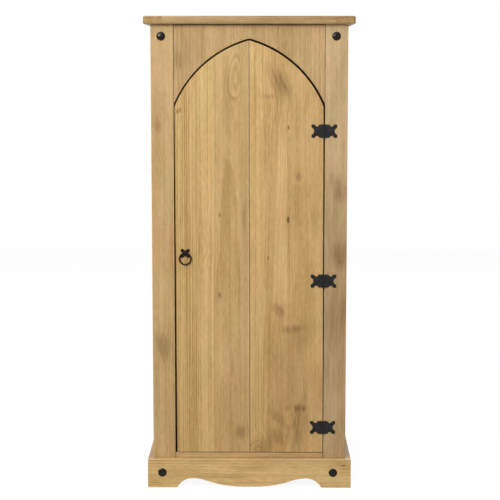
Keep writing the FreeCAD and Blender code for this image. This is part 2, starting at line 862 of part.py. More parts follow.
plate = board(
    "ring_plate",
    (ring_x - size.plate_half, ring_x + size.plate_half),
    (front - size.plate_thickness, front),
    (plate_z - size.plate_half, plate_z + size.plate_half),
)
plate_face = front - size.plate_thickness
notch_out = size.plate_half + size.plate_notch_radius - size.plate_notch_depth
plate_notches = [
    (ring_x + across * notch_out, plate_z + up * notch_out)
    for across, up in ((1, 0), (-1, 0), (0, 1), (0, -1))
]
drill(plate, plate_notches, size.plate_notch_radius, size.plate_thickness, plate_face)


def on_plate_lobe(edge):
    return edge.BoundBox.XLength < TOUCH and edge.BoundBox.ZLength < TOUCH


round_edges(plate, size.plate_lobe_radius, on_plate_lobe)

# The strap clears the wire as it curves away over half the strap's width
strap_half = size.staple_width / 2
wire_bow = size.ring_radius - root(size.ring_radius * size.ring_radius - strap_half * strap_half)
bow_inner = size.ring_wire_radius + wire_bow + size.ring_play
bow_outer = bow_inner + size.staple_thickness
axis_z = size.ring_axis_height
pad_outline(
    "ring_staple",
    "YZ",
    (
        (plate_face, axis_z - bow_outer),
        (plate_face, axis_z - bow_inner),
        (ring_y, axis_z - bow_inner),
        (ring_y - bow_inner, axis_z),
        (ring_y, axis_z + bow_inner),
        (plate_face, axis_z + bow_inner),
        (plate_face, axis_z + bow_outer),
        (ring_y, axis_z + bow_outer),
        (ring_y - bow_outer, axis_z),
        (ring_y, axis_z - bow_outer),
    ),
    {2: (bow_inner, -1), 3: (bow_inner, -1), 7: (bow_outer, 1), 8: (bow_outer, 1)},
    ring_x - strap_half,
    ring_x + strap_half,
)

ring = new_body("ring_pull")
torus = ring.newObject("PartDesign::AdditiveTorus", "ring_wire")
bind(torus, {"Radius1": size.ring_radius, "Radius2": size.ring_wire_radius})
place_body(ring, ring_x, ring_y, axis_z - size.ring_radius, FACING_FRONT)


# The magnetic catch under the middle shelf, and its strike on the middle ledge
catch_x = size.catch_inset - ledge_half
catch_top = shelf_tops["middle"] - size.shelf_thickness
catch_z = catch_top - size.catch_height / 2
board(
    "catch_body",
    (catch_x - size.catch_length / 2, catch_x + size.catch_length / 2),
    (shelf_front, shelf_front + size.catch_depth),
    (catch_top - size.catch_height, catch_top),
    size.fine_arris,
)
board(
    "catch_strike",
    (catch_x - size.strike_length / 2, catch_x + size.strike_length / 2),
    (ledge_back, ledge_back + size.strike_thickness),
    (catch_z - size.strike_height / 2, catch_z + size.strike_height / 2),
)


# Every piece is looked at before it is written
doc.recompute()
faults = []
for item in doc.Objects:
    if {"Invalid", "Error"} & set(item.State):
        faults.append(f"{item.Label} is {item.State}")
for node in nodes:
    if node.Shape.isNull() or not node.Shape.isValid():
        faults.append(f"{node.Label} has no valid shape")
if faults:
    raise SystemExit("\n".join(faults))
os.makedirs("parts", exist_ok=True)
for node in nodes:
    node.Shape.exportStep(f"parts/{node.Label}.step")
print(len(nodes), "pieces")
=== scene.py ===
"""The looks of an arched pine cupboard, piece by piece in the order in which it is put together."""

import math

import bpy
import numpy as np
from mathutils import Matrix, Vector


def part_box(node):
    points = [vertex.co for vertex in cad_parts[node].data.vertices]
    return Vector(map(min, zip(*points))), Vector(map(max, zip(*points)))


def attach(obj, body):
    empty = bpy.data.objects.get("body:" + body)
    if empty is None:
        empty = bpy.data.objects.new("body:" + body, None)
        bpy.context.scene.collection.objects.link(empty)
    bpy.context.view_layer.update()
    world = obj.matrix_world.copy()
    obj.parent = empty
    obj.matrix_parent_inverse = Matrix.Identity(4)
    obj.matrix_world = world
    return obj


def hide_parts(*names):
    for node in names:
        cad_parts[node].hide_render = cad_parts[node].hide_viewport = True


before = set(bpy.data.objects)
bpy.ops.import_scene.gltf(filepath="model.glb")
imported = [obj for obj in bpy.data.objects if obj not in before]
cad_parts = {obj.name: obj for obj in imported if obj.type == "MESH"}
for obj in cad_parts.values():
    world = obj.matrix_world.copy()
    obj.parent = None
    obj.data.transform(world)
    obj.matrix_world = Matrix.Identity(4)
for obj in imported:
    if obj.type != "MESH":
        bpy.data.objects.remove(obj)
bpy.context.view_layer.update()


# The two side panels are solid pine, glued up from narrow staves with the grain standing. The wax
# lies warm and satin on them, and they carry the shelves, the back, the front frame and the top.
def add_node(tree, kind, values=None, **settings):
    """One shader node with its settings, and its inputs as numbers or as links."""
    made = tree.nodes.new(kind)
    for name, value in settings.items():
        setattr(made, name, value)
    for name, value in (values or {}).items():
        socket = made.inputs[name]
        if isinstance(value, bpy.types.NodeSocket):
            tree.links.new(value, socket)
        else:
            socket.default_value = value
    return made


def number(tree, operation, *values, clamp=False):
    """One step of arithmetic on numbers."""
    inputs = dict(enumerate(values))
    return add_node(tree, "ShaderNodeMath", inputs, operation=operation, use_clamp=clamp).outputs[0]


def vector(tree, operation, *values):
    """One step of arithmetic on vectors."""
    made = add_node(tree, "ShaderNodeVectorMath", dict(enumerate(values)), operation=operation)
    return made.outputs["Value" if operation in ("LENGTH", "DOT_PRODUCT") else "Vector"]


def scaled(tree, place, share):
    """A vector or a colour, each part times the same share."""
    return add_node(tree, "ShaderNodeVectorMath", {0: place, "Scale": share}, operation="SCALE").outputs[0]


def joined(tree, across, behind, along):
    """A vector from its three parts."""
    parts = {"X": across, "Y": behind, "Z": along}
    return add_node(tree, "ShaderNodeCombineXYZ", parts).outputs[0]


def parts_of(tree, place):
    """The three parts of a vector, by the names X, Y and Z."""
    return add_node(tree, "ShaderNodeSeparateXYZ", {"Vector": place}).outputs


def noise(tree, place, stretch, detail=2.0, rough=0.55, out="Fac"):
    """Smooth noise over a place, with so many cells to the metre in each direction."""
    cells = vector(tree, "MULTIPLY", place, stretch)
    values = {"Vector": cells, "Scale": 1.0, "Detail": detail, "Roughness": rough}
    return add_node(tree, "ShaderNodeTexNoise", values).outputs[out]


def swing(tree, place, stretch, detail=2.0, rough=0.55):
    """The same noise as a swing above and below zero."""
    return number(tree, "SUBTRACT", noise(tree, place, stretch, detail, rough), 0.5)


def ramp(tree, value, low, high, start=0.0, end=1.0):
    """A smooth step from start to end while the value goes from low to high."""
    values = {"Value": value, "From Min": low, "From Max": high, "To Min": start, "To Max": end}
    made = add_node(tree, "ShaderNodeMapRange", values, interpolation_type="SMOOTHSTEP")
    return made.outputs["Result"]


def blend(tree, share, first, second):
    """A mix of two colours."""
    made = tree.nodes.new("ShaderNodeMix")
    made.data_type = "RGBA"
    for socket, value in ((made.inputs[0], share), (made.inputs[6], first), (made.inputs[7], second)):
        if isinstance(value, bpy.types.NodeSocket):
            tree.links.new(value, socket)
        else:
            socket.default_value = value
    return made.outputs[2]


def colour(red, green, blue):
    """A colour given as it looks on a screen, 0 to 255, turned to linear light."""
    share = np.array([red, green, blue]) / 255
    light = np.where(share <= 0.04045, share / 12.92, ((share + 0.055) / 1.055) ** 2.4)
    return (*light.tolist(), 1.0)


def new_group(name, inputs, outputs):
    """An empty node group with its named sockets, and its first and last node."""
    group = bpy.data.node_groups.new(name, "ShaderNodeTree")
    for socket, (kind, value) in inputs.items():
        made = group.interface.new_socket(socket, in_out="INPUT", socket_type=f"NodeSocket{kind}")
        if value is not None:
            made.default_value = value
    for socket, kind in outputs.items():
        group.interface.new_socket(socket, in_out="OUTPUT", socket_type=f"NodeSocket{kind}")
    return group, group.nodes.new("NodeGroupInput").outputs, group.nodes.new("NodeGroupOutput").inputs


def new_material(name):
    """An empty material, its tree and the coordinates on the object."""
    material = bpy.data.materials.new(name)
    material.use_nodes = True
    tree = material.node_tree
    tree.nodes.clear()
    return material, tree, tree.nodes.new("ShaderNodeTexCoord").outputs


def finish_surface(tree, tint, roughness, relief, strength, depth, others=None):
    """The end of a material: one shader with its colour and roughness, and with a relief of a given
    strength and depth in metres."""
    bump = add_node(tree, "ShaderNodeBump", {"Strength": strength, "Distance": depth, "Height": relief})
    shader = add_node(tree, "ShaderNodeBsdfPrincipled", {
        "Base Color": tint, "Roughness": roughness, "Normal": bump.outputs[0], **(others or {}),
    })
    tree.links.new(shader.outputs[0], add_node(tree, "ShaderNodeOutputMaterial").inputs[0])


# Rings: ring number = distance to the leaning pith / ring width, bent by slow noise. Within a ring
# the wood darkens slowly outwards and breaks off sharply, and each ring has a strength of its own.
waxed_pine, given, result = new_group(
    "waxed pine",
    {
        "Place": ("Vector", None), "End Grain": ("Float", 0.0), "Rubbed Highlight": ("Float", 0.0),
        "Pith Across": ("Float", 0.0), "Pith Behind": ("Float", 0.1),
        "Lean Across": ("Float", 0.0), "Lean Behind": ("Float", 0.0),
        "Ring Width": ("Float", 0.004), "Wander": ("Float", 0.008), "Push": ("Float", 0.0),
        "Figure": ("Float", 0.6), "Stripe": ("Float", 0.5), "Cloud": ("Float", 0.5),
        "Stain": ("Float", 0.0), "Crowd": ("Float", 0.0), "Tone": ("Color", colour(198, 164, 112)),
        "Seed": ("Float", 0.0),
    },
    {"Color": "Color", "Roughness": "Float", "Height": "Float"},
)
tree = waxed_pine
shift = joined(tree, *(number(tree, "MULTIPLY", given["Seed"], share) for share in (0.37, 0.61, 1.13)))
seeded = vector(tree, "ADD", given["Place"], shift)
MIDDLE = (0.5, 0.5, 0.5)
slow_bend = vector(tree, "SUBTRACT", noise(tree, seeded, (4.5, 4.5, 1.5), out="Color"), MIDDLE)
quick_bend = vector(tree, "SUBTRACT", noise(tree, seeded, (26, 26, 6), 3, out="Color"), MIDDLE)
bend = vector(tree, "ADD", slow_bend, vector(tree, "MULTIPLY", quick_bend, (0.22, 0.22, 0.0)))
bend = scaled(tree, bend, given["Wander"])
along = parts_of(tree, given["Place"])["Z"]
pith_across = number(tree, "MULTIPLY_ADD", given["Lean Across"], along, given["Pith Across"])
pith_behind = number(tree, "MULTIPLY_ADD", given["Lean Behind"], along, given["Pith Behind"])
pith = joined(tree, pith_across, pith_behind, along)
to_pith = vector(tree, "SUBTRACT", vector(tree, "ADD", given["Place"], bend), pith)
reach = vector(tree, "LENGTH", vector(tree, "MULTIPLY", to_pith, (1, 1, 0)))
reach = number(tree, "ADD", reach, given["Push"])
spacing = add_node(tree, "ShaderNodeTexNoise", {
    "W": number(tree, "MULTIPLY_ADD", reach, 45.0, given["Seed"]), "Scale": 1.0, "Detail": 1.0,
}, noise_dimensions="1D").outputs["Fac"]
ring = number(tree, "MULTIPLY_ADD", spacing, 2.4, number(tree, "DIVIDE", reach, given["Ring Width"]))
within = number(tree, "FRACT", ring)
strength = add_node(tree, "ShaderNodeTexWhiteNoise", {
    "W": number(tree, "ADD", number(tree, "FLOOR", ring), given["Seed"]),
}, noise_dimensions="1D").outputs["Value"]
late = number(tree, "MULTIPLY", ramp(tree, within, 0.1, 0.84), ramp(tree, within, 0.88, 1.0, 1.0, 0.0))
late = number(tree, "MULTIPLY", late, number(tree, "MULTIPLY_ADD", strength, 0.8, 0.2))
# Fibres, stripes and resin flecks lie along the grain, and the wax takes unevenly in broad clouds.
fibre = swing(tree, seeded, (900, 900, 14), 3, 0.65)
stripe = swing(tree, seeded, (210, 210, 1.3), 1)
wide_stripe = swing(tree, seeded, (48, 48, 1.0), 2)
fleck = ramp(tree, noise(tree, seeded, (620, 620, 34), 1), 0.70, 0.80)
short = swing(tree, seeded, (260, 260, 46), 2)
cloud = swing(tree, seeded, (15, 15, 4.0), 4, 0.62)
warmth = swing(tree, vector(tree, "ADD", seeded, (3.1, 1.7, 5.3)), (22, 22, 6), 3)
light_wood = vector(tree, "MULTIPLY", given["Tone"], (1.08, 1.10, 1.16))
dark_wood = vector(tree, "MULTIPLY", given["Tone"], (0.55, 0.46, 0.30))
# Where marks crowd the rings, their figure rises towards its strongest.
STRONG_FIGURE = 0.85
missing = number(tree, "SUBTRACT", STRONG_FIGURE, given["Figure"])
figure = number(tree, "MULTIPLY_ADD", given["Crowd"], missing, given["Figure"])
wood = blend(tree, number(tree, "MULTIPLY", late, figure, clamp=True), light_wood, dark_wood)
shade = number(tree, "MULTIPLY_ADD", short, 0.5, number(tree, "MULTIPLY", fibre, 0.34))
striped = number(tree, "ADD", stripe, wide_stripe)
shade = number(tree, "MULTIPLY_ADD", number(tree, "MULTIPLY", striped, given["Stripe"]), 1.4, shade)
shade = number(tree, "MULTIPLY_ADD", number(tree, "MULTIPLY", cloud, given["Cloud"]), 1.4, shade)
shade = number(tree, "MULTIPLY_ADD", given["End Grain"], -0.22, shade)
# Rubbed edges are painted paler: worn wax, and a painted highlight where the arris catches the light.
shade = number(tree, "MULTIPLY_ADD", given["Rubbed Highlight"], 0.14, shade)
# Wax takes more of the blue than of the red where it lies thick, so darker places are also browner.
wood = vector(tree, "MULTIPLY", wood, vector(tree, "MULTIPLY_ADD", shade, (0.83, 1.0, 1.45), (1, 1, 1)))
wood = vector(tree, "MAXIMUM", wood, (0.01, 0.01, 0.005))
REDDER, YELLOWER = (1.02, 0.985, 0.985, 1), (0.975, 1.005, 0.975, 1)
wood = vector(tree, "MULTIPLY", wood, blend(tree, ramp(tree, warmth, -0.16, 0.16), REDDER, YELLOWER))
wood = blend(tree, number(tree, "MULTIPLY", fleck, 0.35), wood, dark_wood)
# Marks pull the wood towards a knot brown: real stains and knots, and on some boards a broad painted shade.
streaks = number(tree, "MULTIPLY_ADD", stripe, 0.8, number(tree, "MULTIPLY_ADD", short, 0.9, 0.95))
stained_and_shaded = number(tree, "MULTIPLY", given["Stain"], number(tree, "MAXIMUM", streaks, 0.2), clamp=True)
STAIN_AND_SHADE_BROWN = colour(112, 80, 38)
wood = blend(tree, stained_and_shaded, wood, STAIN_AND_SHADE_BROWN)
tree.links.new(wood, result["Color"])
rough = number(tree, "MULTIPLY_ADD", fibre, 0.16, 0.47)
rough = number(tree, "MULTIPLY_ADD", late, -0.08, rough)
rough = number(tree, "MULTIPLY_ADD", given["End Grain"], 0.15, rough)
rough = number(tree, "MULTIPLY_ADD", given["Rubbed Highlight"], -0.08, rough)
tree.links.new(rough, result["Roughness"])
height = number(tree, "MULTIPLY_ADD", fibre, 0.55, number(tree, "MULTIPLY", late, 0.6))
tree.links.new(number(tree, "MULTIPLY_ADD", fleck, -0.4, height), result["Height"])

# A mark is a place where the grain swells round a knot or a branch, with a stained cloud over it.
# Broad marks without a swell lay painted shade over a board the same way.
# Its distance is measured in half widths across and half lengths along, after a turn.
wood_mark, given, result = new_group(
    "mark in the wood",
    {"Place": ("Vector", None), "Centre": ("Vector", None), "Size": ("Vector", None),
     "Turn": ("Float", 0.0)},
    {"Swell": "Float", "Shade": "Float", "Core": "Float"},
)
tree = wood_mark
turned_place = add_node(tree, "ShaderNodeVectorRotate", {
    "Vector": given["Place"], "Center": given["Centre"], "Angle": given["Turn"],
}, rotation_type="Y_AXIS").outputs[0]
offset = vector(tree, "DIVIDE", vector(tree, "SUBTRACT", turned_place, given["Centre"]), given["Size"])
far = vector(tree, "LENGTH", vector(tree, "MULTIPLY", offset, (1, 0, 1)))
ragged = swing(tree, given["Place"], (60, 60, 11), 3, 0.6)
fall = number(tree, "MULTIPLY", number(tree, "MULTIPLY", far, far), -1.0)
tree.links.new(number(tree, "EXPONENT", fall), result["Swell"])
drawn_out = swing(tree, turned_place, (150, 150, 11), 3, 0.6)
soft = ramp(tree, number(tree, "MULTIPLY_ADD", ragged, 1.3, far), 0.15, 1.35, 1.0, 0.0)
streaked = number(tree, "MAXIMUM", number(tree, "MULTIPLY_ADD", drawn_out, 2.2, 0.95), 0.0)
tree.links.new(number(tree, "MULTIPLY", soft, streaked), result["Shade"])
tree.links.new(ramp(tree, far, 0.14, 0.26, 1.0, 0.0), result["Core"])

# A rubbed edge: where a place is near two faces of the board's own box, the wood is paler: worn wax
# and a painted highlight along the arris.
rubbed_highlight_edge, given, result = new_group(
    "rubbed and highlit edge", {"Place": ("Vector", None), "Low": ("Vector", None), "High": ("Vector", None)},
    {"Rubbed Highlight": "Float"},
)
tree = rubbed_highlight_edge
depth = parts_of(tree, vector(tree, "MINIMUM", vector(tree, "SUBTRACT", given["Place"], given["Low"]),
                              vector(tree, "SUBTRACT", given["High"], given["Place"])))
broken = noise(tree, given["Place"], (70, 70, 70), 3, 0.6)
# The rub ends at most 5.4 mm from the edge.
limit = number(tree, "MULTIPLY_ADD", broken, 0.006, -0.0006)
near = [ramp(tree, number(tree, "DIVIDE", depth[axis], limit), 0.2, 1.0, 1.0, 0.0) for axis in "XYZ"]
pairs = [number(tree, "MULTIPLY", near[a], near[b]) for a, b in ((0, 1), (1, 2), (2, 0))]
both = number(tree, "MAXIMUM", number(tree, "MAXIMUM", pairs[0], pairs[1]), pairs[2])
tree.links.new(both, result["Rubbed Highlight"])

# How a board lies in its place: which way is across it, behind its face and along its grain.
LAYS = {
    "up": ((1, 0, 0), (0, 1, 0), (0, 0, 1)),
    "up on the side": ((0, 1, 0), (-1, 0, 0), (0, 0, 1)),
    "across": ((0, 0, 1), (0, -1, 0), (1, 0, 0)),
    "across lying flat": ((0, 1, 0), (0, 0, 1), (1, 0, 0)),
    "back": ((0, 0, 1), (1, 0, 0), (0, 1, 0)),
    "back lying flat": ((1, 0, 0), (0, 0, -1), (0, 1, 0)),
}


def marks_on(tree, place, marks):
    """What the marks of a board do to its grain, summed over all of them: how far they push the rings,
    how dark they make it with stain and painted shade, and how much they crowd the figure, which a
    push of 30 mm does in full."""
    push = stain_and_shade = crowd = 0.0
    for across, along, half_width, half_length, angle, pushed, stained_and_shaded, knot in marks:
        mark = add_node(tree, "ShaderNodeGroup", {
            "Place": place, "Centre": (across / 1000, 0, along / 1000),
            "Size": (half_width / 1000, 1, half_length / 1000), "Turn": math.radians(angle),
        }, node_tree=wood_mark).outputs
        push = number(tree, "MULTIPLY_ADD", mark["Swell"], pushed / 1000, push)
        crowd = number(tree, "MULTIPLY_ADD", mark["Swell"], min(1.0, pushed / 30), crowd)
        stain_and_shade = number(tree, "MULTIPLY_ADD", mark["Shade"], stained_and_shaded, stain_and_shade)
        if knot:
            stain_and_shade = number(tree, "MULTIPLY_ADD", mark["Core"], knot, stain_and_shade)
    return {"Push": push, "Stain": stain_and_shade, "Crowd": number(tree, "MINIMUM", crowd, 1.0)}


def stave_wood(tree, shared, seed, stave):
    """The colour, roughness and height of one stave, its lengths turned to metres."""
    values = {**shared, "Seed": seed}
    for name, value in stave.items():
        if name == "tone":
            values["Tone"] = colour(*value)
        elif name in ("Pith Across", "Pith Behind", "Ring Width", "Wander"):
            values[name] = value / 1000
        elif name != "from":
            values[name] = value
    wood = add_node(tree, "ShaderNodeGroup", values, node_tree=waxed_pine).outputs
    return [wood[name] for name in ("Color", "Roughness", "Height")]


def staves_beside(tree, place, made):
    """Staves side by side, as pairs of (where it starts, its colour, roughness and height), with a fine
    shade along each glue line."""
    across = parts_of(tree, place)["X"]
    (_, shown), *others = made
    for start, new in others:
        beyond = number(tree, "GREATER_THAN", across, start)
        from_glue = number(tree, "ABSOLUTE", number(tree, "SUBTRACT", across, start))
        glue = ramp(tree, from_glue, 0.0, 0.0008, 0.8, 1.0)
        tint = scaled(tree, blend(tree, beyond, shown[0], new[0]), glue)
        shown = [tint] + [number(tree, "MULTIPLY_ADD", beyond, number(tree, "SUBTRACT", theirs, ours), ours)
                          for ours, theirs in zip(shown[1:], new[1:])]
    return shown


def joints_of(tree, place, lines, arch):
    """Each joint of a board as (distance along its normal, its place, half width, darkness). Both sides
    of an arch are one circle above its centre, the left side folded to the right."""
    joints = [(vector(tree, "DOT_PRODUCT", place, way), *line) for way, *line in lines]
    if arch is not None:
        from_centre = vector(tree, "SUBTRACT", vector(tree, "ABSOLUTE", place), (arch[0], 0, arch[1]))
        from_centre = vector(tree, "MAXIMUM", from_centre, (-1, -1, 0))
        from_centre = vector(tree, "LENGTH", vector(tree, "MULTIPLY", from_centre, (1, 0, 1)))
        joints.append((from_centre, 1000 * arch[2], 1.0, 0.9))
    return joints


# Joints and the gaps round the door are painted dark in this colour: partly grime, partly painted shade
# where light can't reach into them.
GRIME_AND_SHADE = colour(50, 29, 11)
# Sawn edges are painted darker this near the middle, in metres, so past both sides of the door
# opening: stain, and painted shade in the door gap.
OPENING_HALF = 0.24


def undarkened_share(tree, source, lines, arch, sawn):
    """How little the wood is painted dark: one where no joint or sawn edge carries grime and painted
    shade, or None for a board with neither."""
    # Joint lines and sawn edges are painted dark in patches: grime with painted shade in the joints and the
    # door gap.
    patchiness = ramp(tree, noise(tree, source["Object"], (60, 60, 60), 3, 0.6), 0.3, 0.6, 0.7, 1.0)
    dark = []
    for along_normal, offset, half_width, darkness in joints_of(tree, source["Object"], lines, arch):
        away = number(tree, "ABSOLUTE", number(tree, "SUBTRACT", along_normal, offset / 1000))
        line = ramp(tree, away, half_width / 2000, half_width / 1000, darkness, 0.0)
        dark.append(number(tree, "MULTIPLY", line, patchiness))
    if sawn:
        facing = number(tree, "ABSOLUTE", parts_of(tree, source["Normal"])["Y"])
        from_middle = number(tree, "ABSOLUTE", parts_of(tree, source["Object"])["X"])
        inside = number(tree, "LESS_THAN", from_middle, OPENING_HALF)
        dark.append(number(tree, "MULTIPLY", ramp(tree, facing, 0.5, 0.95, sawn, 0.0), inside))
    undarkened = None
    for share in dark:
        left = number(tree, "SUBTRACT", 1.0, share)
        undarkened = left if undarkened is None else number(tree, "MULTIPLY", undarkened, left)
    return undarkened


def pine(node, lay, *staves, marks=(), lines=(), arch=None, sawn=0.0):
    """Waxed pine for one board as it lies. Each stave starts at a place across the board and has its
    own pith, lean, ring width and tone, lengths in millimetres. A mark is (across, along, half width,
    half length, turn, push, stain and painted shade, knot). A line is a joint painted dark with grime
    and painted shade: (the way across it, its place, half width, darkness). An arch is the circle
    (across, up, radius) of both sides of a sawn arch, painted dark along it the same way. Sawn is how
    dark the edges round the door opening are painted, with stain and painted shade in the gap."""
    material, tree, source = new_material(node.replace("_", " ") + " pine")
    turn = Matrix(LAYS[lay]).transposed().to_euler()
    place = add_node(tree, "ShaderNodeMapping", {"Vector": source["Object"], "Rotation": turn},
                     vector_type="TEXTURE").outputs[0]
    end = number(tree, "ABSOLUTE", vector(tree, "DOT_PRODUCT", source["Normal"], LAYS[lay][2]))
    low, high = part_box(node)
    edge = add_node(tree, "ShaderNodeGroup", {"Place": source["Object"], "Low": low, "High": high},
                    node_tree=rubbed_highlight_edge).outputs
    shared = {"Place": place, "End Grain": ramp(tree, end, 0.55, 0.95), "Rubbed Highlight": edge["Rubbed Highlight"]}
    if marks:
        shared.update(marks_on(tree, place, marks))
    seed = sum(map(ord, node)) % 97 * 0.31
    made = [(stave.get("from", 0) / 1000, stave_wood(tree, shared, seed + index * 2.7, stave))
            for index, stave in enumerate(staves)]
    tint, roughness, height = staves_beside(tree, place, made)
    # Joints and sawn edges are painted dark here with grime and painted shade.
    undarkened = undarkened_share(tree, source, lines, arch, sawn)
    if undarkened is not None:
        tint = blend(tree, undarkened, GRIME_AND_SHADE, tint)
    finish_surface(tree, tint, roughness, height, 0.35, 0.0006, {
        "Specular IOR Level": 0.32, "Coat Weight": 0.06, "Coat Roughness": 0.38})
    finish_in(material, node)


def finish_in(material, *names):
    """Gives CAD nodes their finish."""
    for name in names:
        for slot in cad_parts[name].material_slots:
            slot.material = material


for side, way in (("left", -1), ("right", 1)):
    pine(f"side_panel_{side}", "up on the side",
         {"Pith Across": -70, "Pith Behind": -way * 240, "Lean Behind": 0.035, "Ring Width": 4.6,
          "Figure": 0.5, "tone": (196, 162, 110)},
         {"from": -28, "Pith Across": 260, "Pith Behind": -way * 260, "Ring Width": 4.2, "Stripe": 0.8,
          "tone": (190, 155, 102)},
         {"from": 71, "Pith Across": 120, "Pith Behind": -way * 238, "Lean Behind": -0.04,
          "Ring Width": 5.0, "Figure": 0.5, "tone": (199, 166, 114)},
         marks=((40, 900 + way * 160, 9, 16, 0, 9, 0.35, 0.7), (-80, 420 - way * 90, 7, 12, 0, 8, 0.3, 0.7)))


# Inside: the cabinet floor and three shelves on cleats, the batten behind the top rail of the front,
# the corner blocks of the plinth and its back rail. Sanded pine with one thin coat, glued and pinned.
for index, node in enumerate(("cabinet_floor", "shelf_lower", "shelf_middle", "shelf_upper")):
    below = 1000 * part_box(node)[0][2] - 45 - 9 * index
    pine(node, "across lying flat",
         {"Pith Across": -60, "Pith Behind": below, "Lean Behind": 0.03, "Ring Width": 4.4,
          "tone": (206, 175, 126)},
         {"from": -12 + 9 * index, "Pith Across": 260, "Pith Behind": below, "Ring Width": 4.0,
          "Stripe": 0.8, "tone": (200, 168, 118)},
         {"from": 82 - 5 * index, "Pith Across": 120, "Pith Behind": below - 20, "Lean Behind": -0.04,
          "Ring Width": 5.2, "tone": (208, 177, 128)},
         marks=((20, -120 + 90 * index, 8, 14, 0, 8, 0.3, 0.8),))
pine("top_batten", "across", {"Pith Across": 1300, "Pith Behind": 90, "Ring Width": 3.6,
                              "tone": (203, 171, 121)})
pine("plinth_back_rail", "across", {"Pith Across": -80, "Pith Behind": -150, "Ring Width": 4.6,
                                    "tone": (199, 167, 117)})
for level in ("lower", "middle", "upper"):
    for side in ("left", "right"):
        node = f"cleat_{level}_{side}"
        pine(node, "back", {"Pith Across": 1000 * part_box(node)[0][2] - 70, "Pith Behind": 0,
                            "Ring Width": 3.8, "tone": (202, 170, 120)})
for end in ("front", "back"):
    for side in ("left", "right"):
        node = f"corner_block_{end}_{side}"
        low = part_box(node)[0] * 1000
        pine(node, "up", {"Pith Across": low[0] + 55, "Pith Behind": low[1] - 12, "Ring Width": 3.4,
                          "tone": (200, 168, 118)})


# The back: four thin boards standing side by side, with a hair of space between them.
BACK_BOARD_STEP = 141
for index, (stray, lean, ring_width, tone) in enumerate((
        (18, 0.03, 4.6, (204, 172, 122)), (-25, -0.035, 5.2, (198, 165, 114)),
        (10, 0.025, 4.2, (207, 176, 127)), (-8, 0.04, 5.6, (201, 169, 118))), start=1):
    middle = -212 + BACK_BOARD_STEP * (index - 1)
    pine(f"back_board_{index}", "up",
         {"Pith Across": middle + stray, "Pith Behind": 120, "Lean Behind": lean, "Ring Width": ring_width,
          "tone": tone},
         marks=((middle - 20 + 31 * (index % 3), 330 + 270 * (index % 4), 9, 14, 0, 9, 0.35, 0.8),
                (middle + 17, 1160 - 240 * (index % 3), 7, 10, 0, 8, 0.3, 0.8)))


# The plinth: a scrolled front skirt nailed across the ends of two side skirts. The front is cut from
# one wide board with the grain lying across, and a fine quirk runs under its top edge. That edge is
# paler, partly rubbed and partly a painted highlight, and the quirk is painted dark with grime and
# painted shade.
SKIRT_BACK, SKIRT_TOP = (1000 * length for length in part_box("plinth_front_skirt")[1][1:])
QUIRK_DROP = 4.2
pine("plinth_front_skirt", "across",
     {"Pith Across": -260, "Pith Behind": 220, "Ring Width": 7.5, "Wander": 24, "Figure": 0.42,
      "Stripe": 0.18, "Cloud": 0.8, "tone": (215, 181, 123)},
     marks=((71.5, 295.5, 2.2, 7, 0, 0, 2.4, 0), (60, 20, 9, 60, 2, 6, 0.25, 0),
            (38, -60, 7, 70, -2, 6, 0.2, 0)),
     lines=(((0, 0, 1), SKIRT_TOP - QUIRK_DROP, 1.0, 0.35),))
# The side skirts are painted dark, with grime and painted shade, where they meet the back of the front
# skirt.
for side, way in (("left", -1), ("right", 1)):
    pine(f"plinth_side_skirt_{side}", "back",
         {"Pith Across": -190, "Pith Behind": way * 240, "Ring Width": 5.6, "Figure": 0.45,
          "tone": (194, 160, 107)},
         lines=(((0, 1, 0), SKIRT_BACK, 0.8, 0.6),))


# The front frame: two stiles, a head panel sawn to the pointed arch and a bottom rail, flush and
# butted. Their joints and the sawn edges round the door are painted dark: grime, and painted shade
# in the joints and the door gap.
def arch_of(node):
    """The circle of the right side of an arch, fitted to the corners of its sawn edge, both sides
    folded to the right: x x + z z = 2 a x + 2 b z + c. Corners close to the point, to the sides, below
    the rise of the arch or on the top edge of the head panel are left out."""
    point_clear, side_clear, rise, panel_top = 0.010, 0.004, 0.22, 1.41
    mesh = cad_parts[node].data
    places = np.empty(3 * len(mesh.vertices))
    mesh.vertices.foreach_get("co", places)
    across, _, up = np.abs(places.reshape(-1, 3)).T
    low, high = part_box(node)
    sides = max(-low[0], high[0])
    on_arch = (across > point_clear) & (across < sides - side_clear)
    on_arch &= (up > high[2] - rise) & (up < panel_top)
    across, up = across[on_arch], up[on_arch]
    terms = np.stack([2 * across, 2 * up, np.ones_like(up)], axis=1)
    a, b, c = np.linalg.lstsq(terms, across ** 2 + up ** 2, rcond=None)[0]
    return float(a), float(b), math.sqrt(c + a * a + b * b)


def side_lines(node, half_width, darkness, sides=(0, 1)):
    """Grime and painted shade down the left side of a piece, its right side, or both."""
    return [((1, 0, 0), 1000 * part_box(node)[side][0], half_width, darkness) for side in sides]


# A line of painted shade with grime darkens the stiles and the rail where the top of the skirt stands in
# front of them.
ABOVE_SKIRT = ((0, 0, 1), SKIRT_TOP, 2.0, 0.6)
pine("stile_left", "up",
     {"Pith Across": -640, "Pith Behind": 60, "Ring Width": 7.0, "Wander": 14, "Figure": 0.30,
      "Stripe": 0.25, "Cloud": 0.6, "tone": (190, 157, 107)},
     marks=((-283, 1133, 14, 24, 0, 5, 0.35, 0), (-272, 450, 26, 44, 14, 12, 0.36, 0),
            (-240, 760, 10, 80, 0, 4, 0.14, 0)),
     lines=(ABOVE_SKIRT, *side_lines("stile_left", 1.25, 0.92, sides=(1,))), sawn=0.6)
